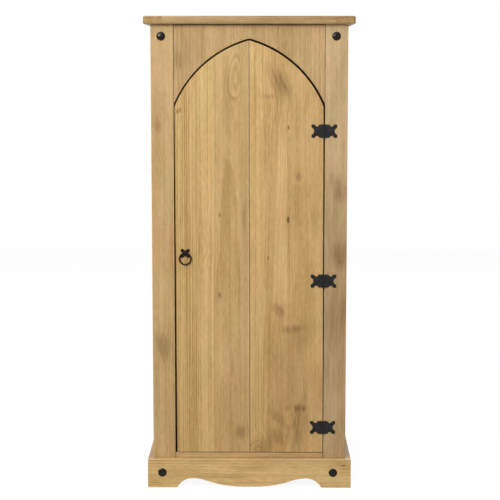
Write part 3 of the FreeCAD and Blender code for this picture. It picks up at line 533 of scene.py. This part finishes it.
# The last mark on the right stile is broad and darkens most of its length, strongest 540 mm up.
pine("stile_right", "up",
     {"Pith Across": 690, "Pith Behind": 40, "Ring Width": 7.0, "Wander": 14, "Figure": 0.25,
      "Stripe": 0.2, "Cloud": 0.6, "tone": (195, 165, 121)},
     marks=((275, 935, 26, 46, 20, 8, 0.34, 0), (279, 733, 24, 44, 14, 8, 0.30, 0),
            (270, 540, 34, 90, -10, 8, 0.20, 0), (262, 540, 90, 620, 0, 0, 0.32, 0)),
     lines=(ABOVE_SKIRT, *side_lines("stile_right", 1.25, 0.92, sides=(0,))), sawn=0.6)
pine("head_panel", "up",
     {"Pith Across": -700, "Pith Behind": 30, "Ring Width": 8.5, "Wander": 14, "Figure": 0.30,
      "Stripe": 0.25, "Cloud": 0.7, "tone": (188, 155, 106)},
     marks=((-190, 1360, 60, 130, 0, 4, 0.20, 0), (-215, 1330, 14, 26, 10, 5, 0.30, 0)),
     lines=side_lines("head_panel", 1.5, 0.95), arch=arch_of("head_panel"), sawn=0.65)
pine("bottom_rail", "across",
     {"Pith Across": -420, "Pith Behind": 160, "Ring Width": 6.0, "Figure": 0.4, "Stripe": 0.3,
      "tone": (195, 162, 112)}, lines=(ABOVE_SKIRT, *side_lines("bottom_rail", 1.6, 0.95)))


# The top: a wide board between two breadboard end caps whose grain runs front to back, all with a
# small round along both edges.
# The joints between the top board and its end caps are painted dark with grime and painted shade.
BOARD_ENDS = side_lines("top_board", 1.0, 0.4)
pine("top_board", "across lying flat",
     {"Pith Across": -60, "Pith Behind": 1290, "Lean Behind": 0.02, "Ring Width": 5.2, "Figure": 0.6,
      "Stripe": 0.6, "Cloud": 1.2, "tone": (170, 138, 92)},
     {"from": 20, "Pith Across": 300, "Pith Behind": 1330, "Ring Width": 4.4, "Figure": 0.5,
      "tone": (186, 154, 106)}, lines=BOARD_ENDS)
for side, way in (("left", -1), ("right", 1)):
    pine(f"top_end_cap_{side}", "back lying flat",
         {"Pith Across": way * 300, "Pith Behind": -1180, "Ring Width": 4.2, "Figure": 0.5, "Cloud": 0.9,
          "tone": (180, 147, 100)}, lines=BOARD_ENDS)


# The door: two wide boards glued from staves, and three ledges screwed across the back. The first
# stave is quartered with fine straight stripes, the rest are slash-sawn with long arches.
DOOR_FOOT, DOOR_HEAD = (1000 * corner[2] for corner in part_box("door_board_left"))
seam_foot, seam_head = 1000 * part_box("door_board_left")[1][0], 1000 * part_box("door_board_right")[0][0]
seam_lean = math.atan2(seam_foot - seam_head, DOOR_HEAD - DOOR_FOOT)
across_seam = (math.cos(seam_lean), 0, math.sin(seam_lean))
# The seam between the door boards is painted dark with grime and painted shade, and so are the door's arch
# and its sawn edges.
SEAM = (across_seam, seam_foot * across_seam[0] + DOOR_FOOT * across_seam[2], 1.3, 0.9)
pine("door_board_left", "up",
     {"Pith Across": 320, "Pith Behind": 60, "Ring Width": 6.6, "Wander": 7, "Figure": 0.58,
      "Stripe": 0.52, "Cloud": 0.35, "tone": (200, 165, 107)},
     {"from": -163, "Pith Across": 320, "Pith Behind": 60, "Ring Width": 11, "Wander": 5, "Figure": 0.45,
      "Stripe": 0.5, "Cloud": 0.35, "tone": (208, 174, 116)},
     {"from": -107, "Pith Across": -60, "Pith Behind": 20, "Lean Behind": 0.012, "Ring Width": 5.5,
      "Wander": 13, "Figure": 0.32, "Stripe": 0.28, "Cloud": 0.6, "tone": (194, 160, 106)},
     {"from": -28.5, "Pith Across": 300, "Pith Behind": -60, "Ring Width": 8.5, "Wander": 14,
      "Figure": 0.30, "Stripe": 0.2, "Cloud": 0.4, "tone": (196, 163, 110)},
     marks=(
         # The grain swings out beside the ring and, by the seam, under the arch.
         (-128, 757, 22, 50, 0, 18, 0, 0), (-43, 1280, 20, 80, 0, 17, 0, 0),
         # Long soft stains along the grain.
         (-66, 1220, 14, 130, 3, 6, 0.32, 0), (-15, 860, 7, 66, 0, 4, 0.35, 0),
         (-25, 173, 22, 32, 0, 7, 0.42, 0), (-54, 385, 6, 50, 0, 4, 0.32, 0),
         # Pin knots: two in the middle, and a pair on the left where the arch starts.
         (-91, 858, 5, 10, 0, 3, 0.6, 0), (-92, 609, 5, 10, 0, 3, 0.5, 0),
         (-211.5, 1181, 4.5, 12, 0, 5, 1.0, 0), (-220, 1177, 3.5, 9, 0, 4, 0.8, 0)),
     lines=(SEAM,), arch=arch_of("door_board_left"), sawn=0.6)
pine("door_board_right", "up",
     {"Pith Across": 420, "Pith Behind": 90, "Ring Width": 6.0, "Wander": 6, "Figure": 0.38,
      "Stripe": 0.38, "Cloud": 0.4, "tone": (206, 171, 112)},
     {"from": 44, "Pith Across": 560, "Pith Behind": 40, "Lean Across": 0.03, "Ring Width": 8.0,
      "Wander": 14, "Figure": 0.30, "Stripe": 0.3, "Cloud": 0.6, "tone": (202, 165, 108)},
     {"from": 118, "Pith Across": 420, "Pith Behind": 30, "Lean Across": -0.03, "Ring Width": 7.2,
      "Wander": 14, "Figure": 0.20, "Stripe": 0.2, "Cloud": 0.6, "tone": (197, 160, 105)},
     marks=(
         # A stained branch under the arch, and the grain that swings below it.
         (94, 1264, 30, 58, 22, 8, 0.52, 0), (58, 1222, 24, 10, 0, 0, 0.30, 0),
         (74, 1190, 36, 40, 30, 14, 0.0, 0),
         # Pin knots, the darkest above the ring.
         (120, 843, 4, 11, 0, 4, 1.6, 0), (57.6, 724, 2.6, 8, 0, 2, 1.0, 0),
         (120, 1128, 2.6, 7, 0, 2, 0.9, 0), (152, 977, 9, 16, 0, 4, 0.4, 0),
         (205, 840, 14, 60, 0, 5, 0.2, 0),
         # A leaning stain and a branch across the grain, below the middle hinge.
         (93, 560, 16, 30, 35, 8, 0.40, 0), (140, 503, 40, 15, 8, 12, 0.42, 0),
         (152, 470, 34, 46, 8, 0, 0.22, 0),
         # A branch across the grain near the foot, with swirls and stains round it.
         (150, 251, 34, 13, 0, 14, 0.36, 0), (152, 190, 30, 84, -6, 22, 0.50, 0),
         (171, 247, 6, 8, 0, 3, 0.4, 0), (95, 214, 13, 44, 42, 10, 0.34, 0),
         (90, 158, 24, 30, 20, 10, 0.30, 0), (37, 116, 30, 46, 0, 60, 0.40, 0),
         # A broad painted shade darkens the lower part of the board, and a faint broad cloud lies above it.
         (90, 330, 90, 300, 0, 0, 0.16, 0), (85, 820, 45, 130, 0, 0, 0.10, 0)),
     lines=(SEAM,), arch=arch_of("door_board_right"), sawn=0.6)
for index, level in enumerate(("lower", "middle", "upper")):
    node = f"door_ledge_{level}"
    foot = 1000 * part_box(node)[0][2]
    pine(node, "across",
         {"Pith Across": foot - 60 + 40 * index, "Pith Behind": 60, "Ring Width": 4.4,
          "tone": (201, 168, 117)},
         marks=((foot + 25, -60 + 70 * index, 6, 12, 0, 7, 0.3, 0.8),))


# Hinges, nails and ring are wrought iron under black lacquer: shallow hammer dents all over, and the
# lacquer thinned to a brown grey where hands and edges have rubbed it.
hammered_iron, given, result = new_group(
    "hammered iron",
    {"Place": ("Vector", None), "Dents": ("Float", 190.0), "Seed": ("Float", 0.0),
     "Brown": ("Float", 0.0)},
    {"Color": "Color", "Roughness": "Float", "Height": "Float"},
)
tree = hammered_iron
seeded = vector(tree, "ADD", given["Place"], joined(tree, *[given["Seed"]] * 3))
dents = add_node(tree, "ShaderNodeTexVoronoi", {"Vector": seeded, "Scale": given["Dents"]},
                 feature="SMOOTH_F1")
pitted = noise(tree, seeded, (900, 900, 900), 4, 0.6)
worn = ramp(tree, noise(tree, seeded, (75, 75, 75), 4, 0.7), 0.50, 0.72)
LACQUER, WORN, PIT, BROWN = colour(13, 12, 14), colour(38, 29, 23), colour(44, 34, 27), colour(36, 20, 12)
tint = blend(tree, worn, LACQUER, WORN)
tint = blend(tree, ramp(tree, pitted, 0.62, 0.75), tint, PIT)
tree.links.new(blend(tree, given["Brown"], tint, BROWN), result["Color"])
tree.links.new(number(tree, "MULTIPLY_ADD", pitted, 0.30, 0.24), result["Roughness"])
tree.links.new(number(tree, "MULTIPLY_ADD", pitted, 0.12, dents.outputs["Distance"]), result["Height"])


def black_iron(name, dents=190.0, seed=0.0, depth=0.7, shine=0.0, brown=0.0):
    """Black lacquered iron with hammer dents of the given number to the metre. Shine is how smooth the
    lacquer lies, brown how much of it is rubbed through."""
    material, tree, source = new_material(name)
    metal = add_node(tree, "ShaderNodeGroup", {
        "Place": source["Object"], "Dents": dents, "Seed": seed, "Brown": brown,
    }, node_tree=hammered_iron).outputs
    roughness = number(tree, "MULTIPLY", metal["Roughness"], 1 - 0.5 * shine)
    finish_surface(tree, metal["Color"], roughness, metal["Height"], depth, 0.0014, {
        "Specular IOR Level": 0.3 - 0.08 * shine - 0.15 * brown})
    return material


# Butterfly hinges: two plates of hammered black iron, each notched above, below and at its tip so
# that four lobes are left, and rolled into barrels round a pin. Round-headed screws hold them.
def arc(centre, radius, start, end, points):
    """Points on a circle about its centre, from one angle in degrees to another."""
    angle = np.radians(np.linspace(start, end, points))
    return np.stack([centre[0] + radius * np.cos(angle), centre[1] + radius * np.sin(angle)], axis=1)


def shell(rings, looped=False):
    """A closed skin over rings of points (ring, point, xyz). Quads join each ring to the next and each
    ring closes on itself. The ends meet, or one face shuts each. The skin is turned to face outwards."""
    rows, points = rings.shape[:2]
    index = np.arange(rows * points).reshape(rows, points)
    if looped:
        index = np.concatenate([index, index[:1]])
    ahead = np.roll(index, -1, axis=1)
    quads = np.stack([index[:-1], ahead[:-1], ahead[1:], index[1:]], axis=-1).reshape(-1, 4)
    places = rings.reshape(-1, 3)
    corners = (places - places.mean(axis=0))[quads]
    fold = np.cross(corners[:, 1], corners[:, 2]) + np.cross(corners[:, 2], corners[:, 3])
    faces = quads.tolist()
    if not looped:
        faces += [index[0][::-1].tolist(), index[-1].tolist()]
    if np.einsum("ij,ij->", corners[:, 0], fold) < 0:
        faces = [face[::-1] for face in faces]
    return places, faces


def make_piece(name, shells, body, material, slot, *stands_for, smooth=40):
    """One object from closed shells in millimetres, riding on a body in place of its CAD nodes."""
    places, faces, count = [], [], 0
    for points, skin in shells:
        faces += [[count + corner for corner in face] for face in skin]
        places.append(points / 1000)
        count += len(points)
    mesh = bpy.data.meshes.new(name)
    mesh.from_pydata(np.concatenate(places).tolist(), [], faces)
    mesh.materials.append(material)
    mesh.shade_smooth()
    mesh.set_sharp_from_angle(angle=math.radians(smooth))
    piece = bpy.data.objects.new(name, mesh)
    bpy.context.scene.collection.objects.link(piece)
    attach(piece, body)
    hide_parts(*stands_for)


def softened(corners, step=0.6, reach=4.6, keep=None):
    """A closed outline through its corners in even steps, each point then a mean of those within reach
    of it, the near ones counting more, so that every corner is round. Where keep says so a point stays
    as it was."""
    closed = np.concatenate([corners, corners[:1]])
    gone = np.concatenate([[0], np.cumsum(np.linalg.norm(np.diff(closed, axis=0), axis=1))])
    fixed = gone[:-1][np.zeros(len(corners), bool) if keep is None else keep(corners)]
    places = np.arange(0, gone[-1] - step / 2, step)
    apart = np.abs(places[:, None] - fixed[None]).min(axis=1, initial=step)
    places = np.sort(np.concatenate([places[apart > step / 2], fixed]))
    even = np.stack([np.interp(places, gone, closed[:, k]) for k in (0, 1)], axis=1)
    apart = np.abs(places[:, None] - places[None])
    apart = np.minimum(apart, gone[-1] - apart)
    weight = np.clip(1 - apart / reach, 0, None)
    smooth = weight @ even / weight.sum(axis=1, keepdims=True)
    kept = np.zeros(len(even), bool) if keep is None else keep(even)
    return np.where(kept[:, None], even, smooth)


def plate(outline, back, front, rounding=0.8, square=None):
    """A plate between two y places. Its outline (point, xz) has the metal on its left, and a quarter
    round is carried along the front edge: inset = r (1 - cos a), y = front + r (1 - sin a). Where
    square says so the edge isn't drawn in."""
    along = np.roll(outline, -1, axis=0) - np.roll(outline, 1, axis=0)
    inward = np.stack([-along[:, 1], along[:, 0]], axis=1)
    inward /= np.maximum(np.linalg.norm(inward, axis=1, keepdims=True), 1e-6)
    turn = np.radians(np.linspace(0, 90, 5))
    insets = np.concatenate([[0.0], rounding * (1 - np.cos(turn))])
    depths = np.concatenate([[back], front + rounding * (1 - np.sin(turn))])
    if square is not None:
        inward = np.where(square(outline)[:, None], 0.0, inward)
    drawn = outline + insets[:, None, None] * inward
    depth = np.broadcast_to(depths[:, None], drawn.shape[:2])
    return shell(np.stack([drawn[..., 0], depth, drawn[..., 1]], axis=-1))


def turned(profile, x, y, points=32):
    """A turned shell: a profile (reach, height) carried round an upright axis."""
    angle = np.linspace(0, 2 * np.pi, points, endpoint=False)
    reach, height = np.array(profile).T[..., None]
    rings = (x + reach * np.cos(angle), y + reach * np.sin(angle), np.repeat(height, points, axis=1))
    return shell(np.stack(rings, axis=-1))


def middle_of(name):
    """The middle of a CAD node in millimetres."""
    low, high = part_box(name)
    return tuple(500 * (low[k] + high[k]) for k in range(3))


PIN_X, PIN_Y, _ = middle_of("hinge_upper_pin")
FRONT = 1000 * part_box("stile_left")[0][1]
HINGE_HEIGHTS = {level: middle_of(f"hinge_{level}_pin")[2] for level in ("upper", "middle", "lower")}
LEAF_HALF, LEAF_REACH, LEAF_SHEET = 20.5, 39.5, 2.0
SIDE_NOTCH_AT, SIDE_NOTCH = 22.5, 6.6
TIP_NOTCH_PAST, TIP_NOTCH, TIP_CORNER = 2.5, 11.0, 10.7
BARREL, BARREL_EDGE, BARREL_PLAY, BARREL_CLEAR = 3.5, 0.5, 0.15, 0.3
BARREL_LENGTH = 2 * LEAF_HALF / 3


def barrel_ends(place, play):
    """The lowest and highest of the three places on a pin, 0 to 2, with play towards the others."""
    low = place * BARREL_LENGTH - LEAF_HALF
    return low + (play if place > 0 else 0), low + BARREL_LENGTH - (play if place < 2 else 0)


def leaf_corners(barrels):
    """A leaf seen flat, the pin at zero: the foot with its round notch, the lobe, the round notch in
    the tip, the same again upwards, and steps by the pin that clear the other leaf's barrels."""
    foot = np.concatenate([
        arc((SIDE_NOTCH_AT, -LEAF_HALF), SIDE_NOTCH, 180, 0, 16),
        [(LEAF_REACH, -LEAF_HALF), (LEAF_REACH, -TIP_CORNER)],
        arc((LEAF_REACH + TIP_NOTCH_PAST, 0), TIP_NOTCH, 257, 181, 12),
    ])
    steps = []
    for place in (2, 1, 0):
        own = place in barrels
        inner = 0.0 if own else BARREL + BARREL_CLEAR
        low, high = barrel_ends(place, BARREL_PLAY if own else -BARREL_PLAY)
        steps += [(inner, high), (inner, low)]
    return np.concatenate([foot, foot[::-1] * (1, -1), steps])


def by_pin(places):
    """Where a leaf runs into its barrels, so that its corners stay as they are."""
    return places[:, 0] < 6.0


def on_barrels(places):
    """Where a leaf's edge stays square, because it runs into its barrels."""
    return np.abs(places[:, 0] - PIN_X) < 6.5


iron = black_iron("hammered black iron")
for level, height in HINGE_HEIGHTS.items():
    for body, part, way, barrels in (("door", "door_leaf", -1, (0, 2)), ("carcass", "stile_leaf", 1, (1,))):
        outline = softened(leaf_corners(barrels), keep=by_pin)
        outline = outline[::way] * (way, 1) + (PIN_X, height)
        shells = [plate(outline, FRONT, FRONT - LEAF_SHEET, square=on_barrels)]
        for place in barrels:
            low, high = (height + end for end in barrel_ends(place, BARREL_PLAY))
            profile = [(BARREL - BARREL_EDGE, low), (BARREL, low + BARREL_EDGE),
                       (BARREL, high - BARREL_EDGE), (BARREL - BARREL_EDGE, high)]
            shells.append(turned(profile, PIN_X, PIN_Y))
        make_piece(f"butterfly_leaf_{level}_{part}", shells, body, iron, "black_iron",
                   f"hinge_{level}_{part}")


def screw_heads(places, face, out, reach=3.1, rise=1.4):
    """Round heads with a cross recess, each a function of radius and angle: a cap of the given rise,
    less a cross whose arms are narrow in one direction and end short of the rim in the other."""
    arm_half, arm_reach, recess = 0.62, 1.75, 0.8
    radius = np.concatenate([[1.0, 1.0], np.linspace(0.97, 0.03, 20)])[:, None] * reach
    angle = np.linspace(0, 2 * np.pi, 48, endpoint=False)
    across, up = radius * np.cos(angle), radius * np.sin(angle)
    cap = rise * (0.12 + 0.88 * np.sqrt(np.clip(1 - (radius / reach) ** 2, 0, 1)) + 0 * angle)
    narrow = np.minimum(np.abs(across), np.abs(up))
    long = np.maximum(np.abs(across), np.abs(up))
    arm = np.clip((arm_half - narrow) / 0.25, 0, 1) * np.clip((arm_reach - long) / 0.35, 0, 1)
    cap = cap - recess * arm
    cap[0] = 0.0
    made = []
    for index, (x, z) in enumerate(places):
        turn = 0.7 * index
        side = across * math.cos(turn) - up * math.sin(turn)
        above = across * math.sin(turn) + up * math.cos(turn)
        made.append(shell(np.stack([x + side, face + out * cap, z + above], axis=-1)))
    return made


# Two screws stand in a leaf's lobes and one in its middle, at (reach from the pin, height).
LEAF_SCREWS = ((33.5, -14.5), (33.5, 14.5), (18.5, 0.0))
for body, part, way in (("door", "door", -1), ("carcass", "stile", 1)):
    places = [(PIN_X + way * reach, height + up) for height in HINGE_HEIGHTS.values()
              for reach, up in LEAF_SCREWS]
    make_piece(f"hinge_screw_heads_{part}", screw_heads(places, FRONT - LEAF_SHEET, -1), body, iron,
               "black_iron", f"hinge_screws_{part}")
finish_in(iron, *(f"hinge_{level}_pin" for level in HINGE_HEIGHTS))


# Four dome-headed nails, hammered by hand: a round cap and a ring of struck facets round it. Two
# hold the stiles under the top, and two hold the skirt to its blocks.
def struck_dome(reach, rise, strikes, seed):
    """A dome over radius and angle: the lowest of a round cap and of the planes that the strikes
    left, joined smoothly: height = -log(sum(exp(-k h))) / k."""
    sharpness, rim, first_way = 9.0, 0.45, 2.55
    rng = np.random.default_rng(seed)
    radius = np.concatenate([[1.0, 1.0], np.linspace(0.985, 0.02, 26)])[:, None] * reach
    angle = np.linspace(0, 2 * np.pi, 72, endpoint=False)
    across, up = radius * np.cos(angle), radius * np.sin(angle)
    bend = (reach ** 2 + rise ** 2) / (2 * rise)
    heights = [rise - (across ** 2 + up ** 2) / (2 * bend)]
    for strike in range(strikes):
        way = 2 * np.pi * (strike + 0.25 * rng.uniform(-1, 1)) / strikes + first_way
        spot = reach * rng.uniform(0.45, 0.60)
        slope = spot / bend * rng.uniform(0.95, 1.2)
        level = rise - spot ** 2 / (2 * bend) - rng.uniform(0.3, 0.5)
        heights.append(level - slope * (across * math.cos(way) + up * math.sin(way) - spot))
    dome = -np.log(np.exp(-sharpness * np.array(heights)).sum(axis=0)) / sharpness
    dome = np.clip(dome, rim, None)
    dome[0] = 0.0
    return across, up, dome


NAIL_REACH, NAIL_RISE, NAIL_STRIKES = 13.4, 5.0, 6
nail_iron = black_iron("hammered nail iron", dents=260.0, seed=3.0, depth=0.10, shine=1.0, brown=0.15)
for index, part in enumerate(("stile_left", "stile_right", "skirt_left", "skirt_right")):
    x, _, z = middle_of(f"nail_{part}")
    face = 1000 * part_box(f"nail_{part}")[0][1] + NAIL_RISE
    across, up, dome = struck_dome(NAIL_REACH, NAIL_RISE, NAIL_STRIKES, seed=index + 1)
    head = shell(np.stack([x + across, face - dome, z + up], axis=-1))
    make_piece(f"nail_head_{part}", [head], "carcass", nail_iron, "black_iron", f"nail_{part}", smooth=60)


# The ring handle: a four-lobed plate on the door, a strap bent over the wire, and a ring forged
# from round wire that swings in it.
RING_X, RING_Y, RING_Z = middle_of("ring_pull")
RING_REACH, WIRE = 17.8, 2.25
WIRE_TOP = RING_Z + RING_REACH
PLATE_Z, PLATE_HALF, PLATE_SHEET = middle_of("ring_plate")[2], 13.8, 2.0
PLATE_NOTCH_PAST, PLATE_NOTCH = 1.2, 5.8
ring_iron = black_iron("forged ring iron", dents=220.0, seed=7.0, brown=0.75)
notch = arc((PLATE_HALF + PLATE_NOTCH_PAST, 0), PLATE_NOTCH, 259, 101, 12)
quarter = np.concatenate([[(PLATE_HALF, -PLATE_HALF)], notch])
turns = [np.array([[math.cos(angle), math.sin(angle)], [-math.sin(angle), math.cos(angle)]])
         for angle in np.radians([0, 90, 180, 270])]
lobed = softened(np.concatenate([quarter @ turn for turn in turns]), step=0.5, reach=3.4)
ring_plate = plate(lobed + (RING_X, PLATE_Z), FRONT, FRONT - PLATE_SHEET, 0.7)
make_piece("ring_handle_plate", [ring_plate], "door", ring_iron, "black_iron", "ring_plate")


def wire_ring(centre, reach, wire):
    """A ring in the xz plane: a circle of wire carried round a larger circle. The wire is a little
    thicker at the foot, and its thickness wavers where the hammer drew it out."""
    way = np.linspace(0, 2 * np.pi, 96, endpoint=False)[:, None]
    round_wire = np.linspace(0, 2 * np.pi, 20, endpoint=False)
    waver = 1 + 0.05 * np.sin(7 * way + 1) * np.sin(3 * way) - 0.06 * np.clip(np.sin(way), -1, 1)
    thick = np.minimum(wire * waver, wire)
    out = reach + thick * np.cos(round_wire)
    return shell(np.stack([
        centre[0] + out * np.cos(way), centre[1] + thick * np.sin(round_wire) + 0 * out,
        centre[2] + out * np.sin(way)], axis=-1), looped=True)


make_piece("ring_handle_wire", [wire_ring((RING_X, RING_Y, RING_Z), RING_REACH, WIRE)], "ring", ring_iron,
           "black_iron", "ring_pull")


def strap(centre_x, width, inner, sheet, axis_y, axis_z, face, rounding=0.5):
    """A flat strap carried along a U: out from the plate, half round the wire and back. Its section is
    a rectangle with round corners, the path's own normal turning it."""
    bow = arc((0, 0), inner + sheet / 2, 90, 270, 17)
    foot = inner + sheet / 2
    path = np.concatenate([[(face - axis_y, foot)], bow, [(face - axis_y, -foot)]])
    normal = np.concatenate([[(0, 1)], bow / np.linalg.norm(bow, axis=1, keepdims=True), [(0, -1)]])
    corner = [arc((sx * (width / 2 - rounding), sy * (sheet / 2 - rounding)), rounding, start, start + 90, 4)
              for sx, sy, start in ((1, 1, 0), (-1, 1, 90), (-1, -1, 180), (1, -1, 270))]
    section = np.concatenate(corner)
    along = path[:, None] + normal[:, None] * section[None, :, 1:]
    side = np.broadcast_to(centre_x + section[:, 0], along.shape[:2])
    return shell(np.stack([side, axis_y + along[..., 0], axis_z + along[..., 1]], axis=-1))


# The strap clears the wire, whose circle falls away from its top by the sagitta of half the strap.
STRAP_WIDTH, STRAP_SHEET, STRAP_CLEAR = 7.0, 2.2, 0.3
sagitta = RING_REACH - math.sqrt(RING_REACH ** 2 - (STRAP_WIDTH / 2) ** 2)
bent_strap = strap(RING_X, STRAP_WIDTH, WIRE + sagitta + STRAP_CLEAR, STRAP_SHEET, RING_Y, WIRE_TOP,
                   FRONT - PLATE_SHEET)
make_piece("ring_handle_strap", [bent_strap], "door", ring_iron, "black_iron", "ring_staple")


# On the back of the door: zinc-plated round-headed screws through the ledges, a zinc strike on the
# middle ledge, and under the middle shelf the brown shell of the magnetic catch with its two poles.
zinc, tree, source = new_material("zinc plate")
drawn = noise(tree, source["Object"], (60, 900, 900), 3, 0.6)
dull = ramp(tree, noise(tree, source["Object"], (140, 140, 140), 4, 0.6), 0.48, 0.66)
tint = blend(tree, dull, colour(203, 203, 205), colour(168, 166, 158))
roughness = number(tree, "MULTIPLY_ADD", drawn, 0.25, number(tree, "MULTIPLY_ADD", dull, 0.15, 0.18))
finish_surface(tree, tint, roughness, drawn, 0.25, 0.0002, {"Metallic": 1.0})
finish_in(zinc, "catch_strike")
LEDGE_HALF, LEDGE_BACK = (1000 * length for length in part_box("door_ledge_middle")[1][:2])
# On each half of a ledge, at (share of the half, height above its middle).
LEDGE_SCREWS = ((0.22, 14.5), (0.86, -14.5))
places = [(way * share * LEDGE_HALF, middle_of(f"door_ledge_{level}")[2] + up)
          for level in ("lower", "middle", "upper") for way in (-1, 1) for share, up in LEDGE_SCREWS]
make_piece("ledge_screw_heads", screw_heads(places, LEDGE_BACK, 1), "door", zinc, "bright_steel",
           "ledge_screws")

brown_shell, tree, source = new_material("brown catch shell")
orange_peel = noise(tree, source["Object"], (700, 700, 700), 2, 0.5)
scuffs = noise(tree, source["Object"], (90, 400, 90), 4, 0.7)
tint = blend(tree, ramp(tree, scuffs, 0.55, 0.75), colour(92, 62, 40), colour(118, 86, 60))
roughness = number(tree, "MULTIPLY_ADD", scuffs, 0.25, 0.30)
finish_surface(tree, tint, roughness, orange_peel, 0.2, 0.0002)
finish_in(brown_shell, "catch_body")
CATCH_LOW, CATCH_HIGH = (1000 * np.array(corner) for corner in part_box("catch_body"))
POLE_RISES, POLE_HALF, POLE_INSET, POLE_IN, POLE_OUT = (3.6, 11.4), 1.0, 7.0, 3.0, 0.3
poles = []
for rise in POLE_RISES:
    left, right = CATCH_LOW[0] + POLE_INSET, CATCH_HIGH[0] - POLE_INSET
    low, high = CATCH_LOW[2] + rise - POLE_HALF, CATCH_LOW[2] + rise + POLE_HALF
    outline = np.array([(left, low), (right, low), (right, high), (left, high)])
    poles.append(plate(outline, CATCH_LOW[1] + POLE_IN, CATCH_LOW[1] - POLE_OUT, 0.2))
make_piece("catch_poles", poles, "carcass", zinc, "bright_steel")


# The room: a plain pale floor, soft lamps high, in front, on both sides and behind, and the camera as
# high as the upper part of the door, looking slightly down.
def soft_lamp(name, place, aim, size, power):
    """A square lamp at a place, turned to its aim."""
    lamp = bpy.data.lights.new(name, "AREA")
    lamp.energy, lamp.size = power, size
    made = bpy.data.objects.new(name, lamp)
    bpy.context.scene.collection.objects.link(made)
    made.location = place
    made.rotation_euler = (Vector(aim) - Vector(place)).to_track_quat("-Z", "Y").to_euler()


soft_lamp("high soft light", (-0.9, -2.5, 3.7), (0, 0, 0.9), 1.8, 32)
soft_lamp("front soft light", (-0.5, -2.4, 2.1), (0, 0, 1.2), 1.0, 10)
soft_lamp("left soft light", (-2.2, -2.9, 2.6), (0, 0, 1.0), 0.8, 60)
soft_lamp("right soft light", (3.0, -2.6, 1.7), (0, 0, 0.8), 0.5, 7)
soft_lamp("back soft light", (1.2, 3.6, 3.2), (0, 0, 0.8), 1.8, 30)


def seen_directly(tree):
    """One for what the camera sees itself, in a gloss or through glass."""
    path = tree.nodes.new("ShaderNodeLightPath").outputs
    seen = number(tree, "MAXIMUM", path["Is Camera Ray"], path["Is Glossy Ray"])
    return number(tree, "MAXIMUM", seen, path["Is Transmission Ray"])


# Seen directly the room is white, and it lights the object at a lower level.
WHITE, ROOM_LIGHT = 1.0, 0.28
world = bpy.data.worlds.new("pale room")
bpy.context.scene.world = world
world.use_nodes = True
tree = world.node_tree
tree.nodes.clear()
strength = number(tree, "MULTIPLY_ADD", seen_directly(tree), WHITE - ROOM_LIGHT, ROOM_LIGHT)
sky = add_node(tree, "ShaderNodeBackground", {"Color": (1, 1, 1, 1), "Strength": strength})
tree.links.new(sky.outputs[0], add_node(tree, "ShaderNodeOutputWorld").inputs[0])

# Seen directly the floor glows nearly white and takes a faint shadow. To the object it is matt and sandy.
SANDY, FAINT, GLOW = (0.66, 0.60, 0.48, 1), (0.16, 0.16, 0.16, 1), 0.93
floor_mesh = bpy.data.meshes.new("floor")
floor_mesh.from_pydata([(-6, -8, 0), (6, -8, 0), (6, 6, 0), (-6, 6, 0)], [], [(0, 1, 2, 3)])
floor = bpy.data.objects.new("floor", floor_mesh)
bpy.context.scene.collection.objects.link(floor)
pale, tree, _ = new_material("pale floor")
seen = seen_directly(tree)
matt = add_node(tree, "ShaderNodeBsdfDiffuse", {"Color": SANDY})
faint = add_node(tree, "ShaderNodeBsdfDiffuse", {"Color": FAINT})
glow = add_node(tree, "ShaderNodeEmission", {"Color": (1, 1, 1, 1), "Strength": GLOW})
lit = tree.nodes.new("ShaderNodeAddShader")
tree.links.new(faint.outputs[0], lit.inputs[0])
tree.links.new(glow.outputs[0], lit.inputs[1])
pick = add_node(tree, "ShaderNodeMixShader", {"Fac": seen})
tree.links.new(matt.outputs[0], pick.inputs[1])
tree.links.new(lit.outputs[0], pick.inputs[2])
tree.links.new(pick.outputs[0], add_node(tree, "ShaderNodeOutputMaterial").inputs[0])
floor_mesh.materials.append(pale)

camera_data = bpy.data.cameras.new("camera")
camera_data.lens = 107.5
camera = bpy.data.objects.new("camera", camera_data)
bpy.context.scene.collection.objects.link(camera)
camera.location = (0.0422, -4.7305, 1.313)
camera.rotation_euler = (math.radians(83.0), 0, math.radians(0.5))
bpy.context.scene.camera = camera
bpy.context.scene.view_settings.view_transform = "Standard"
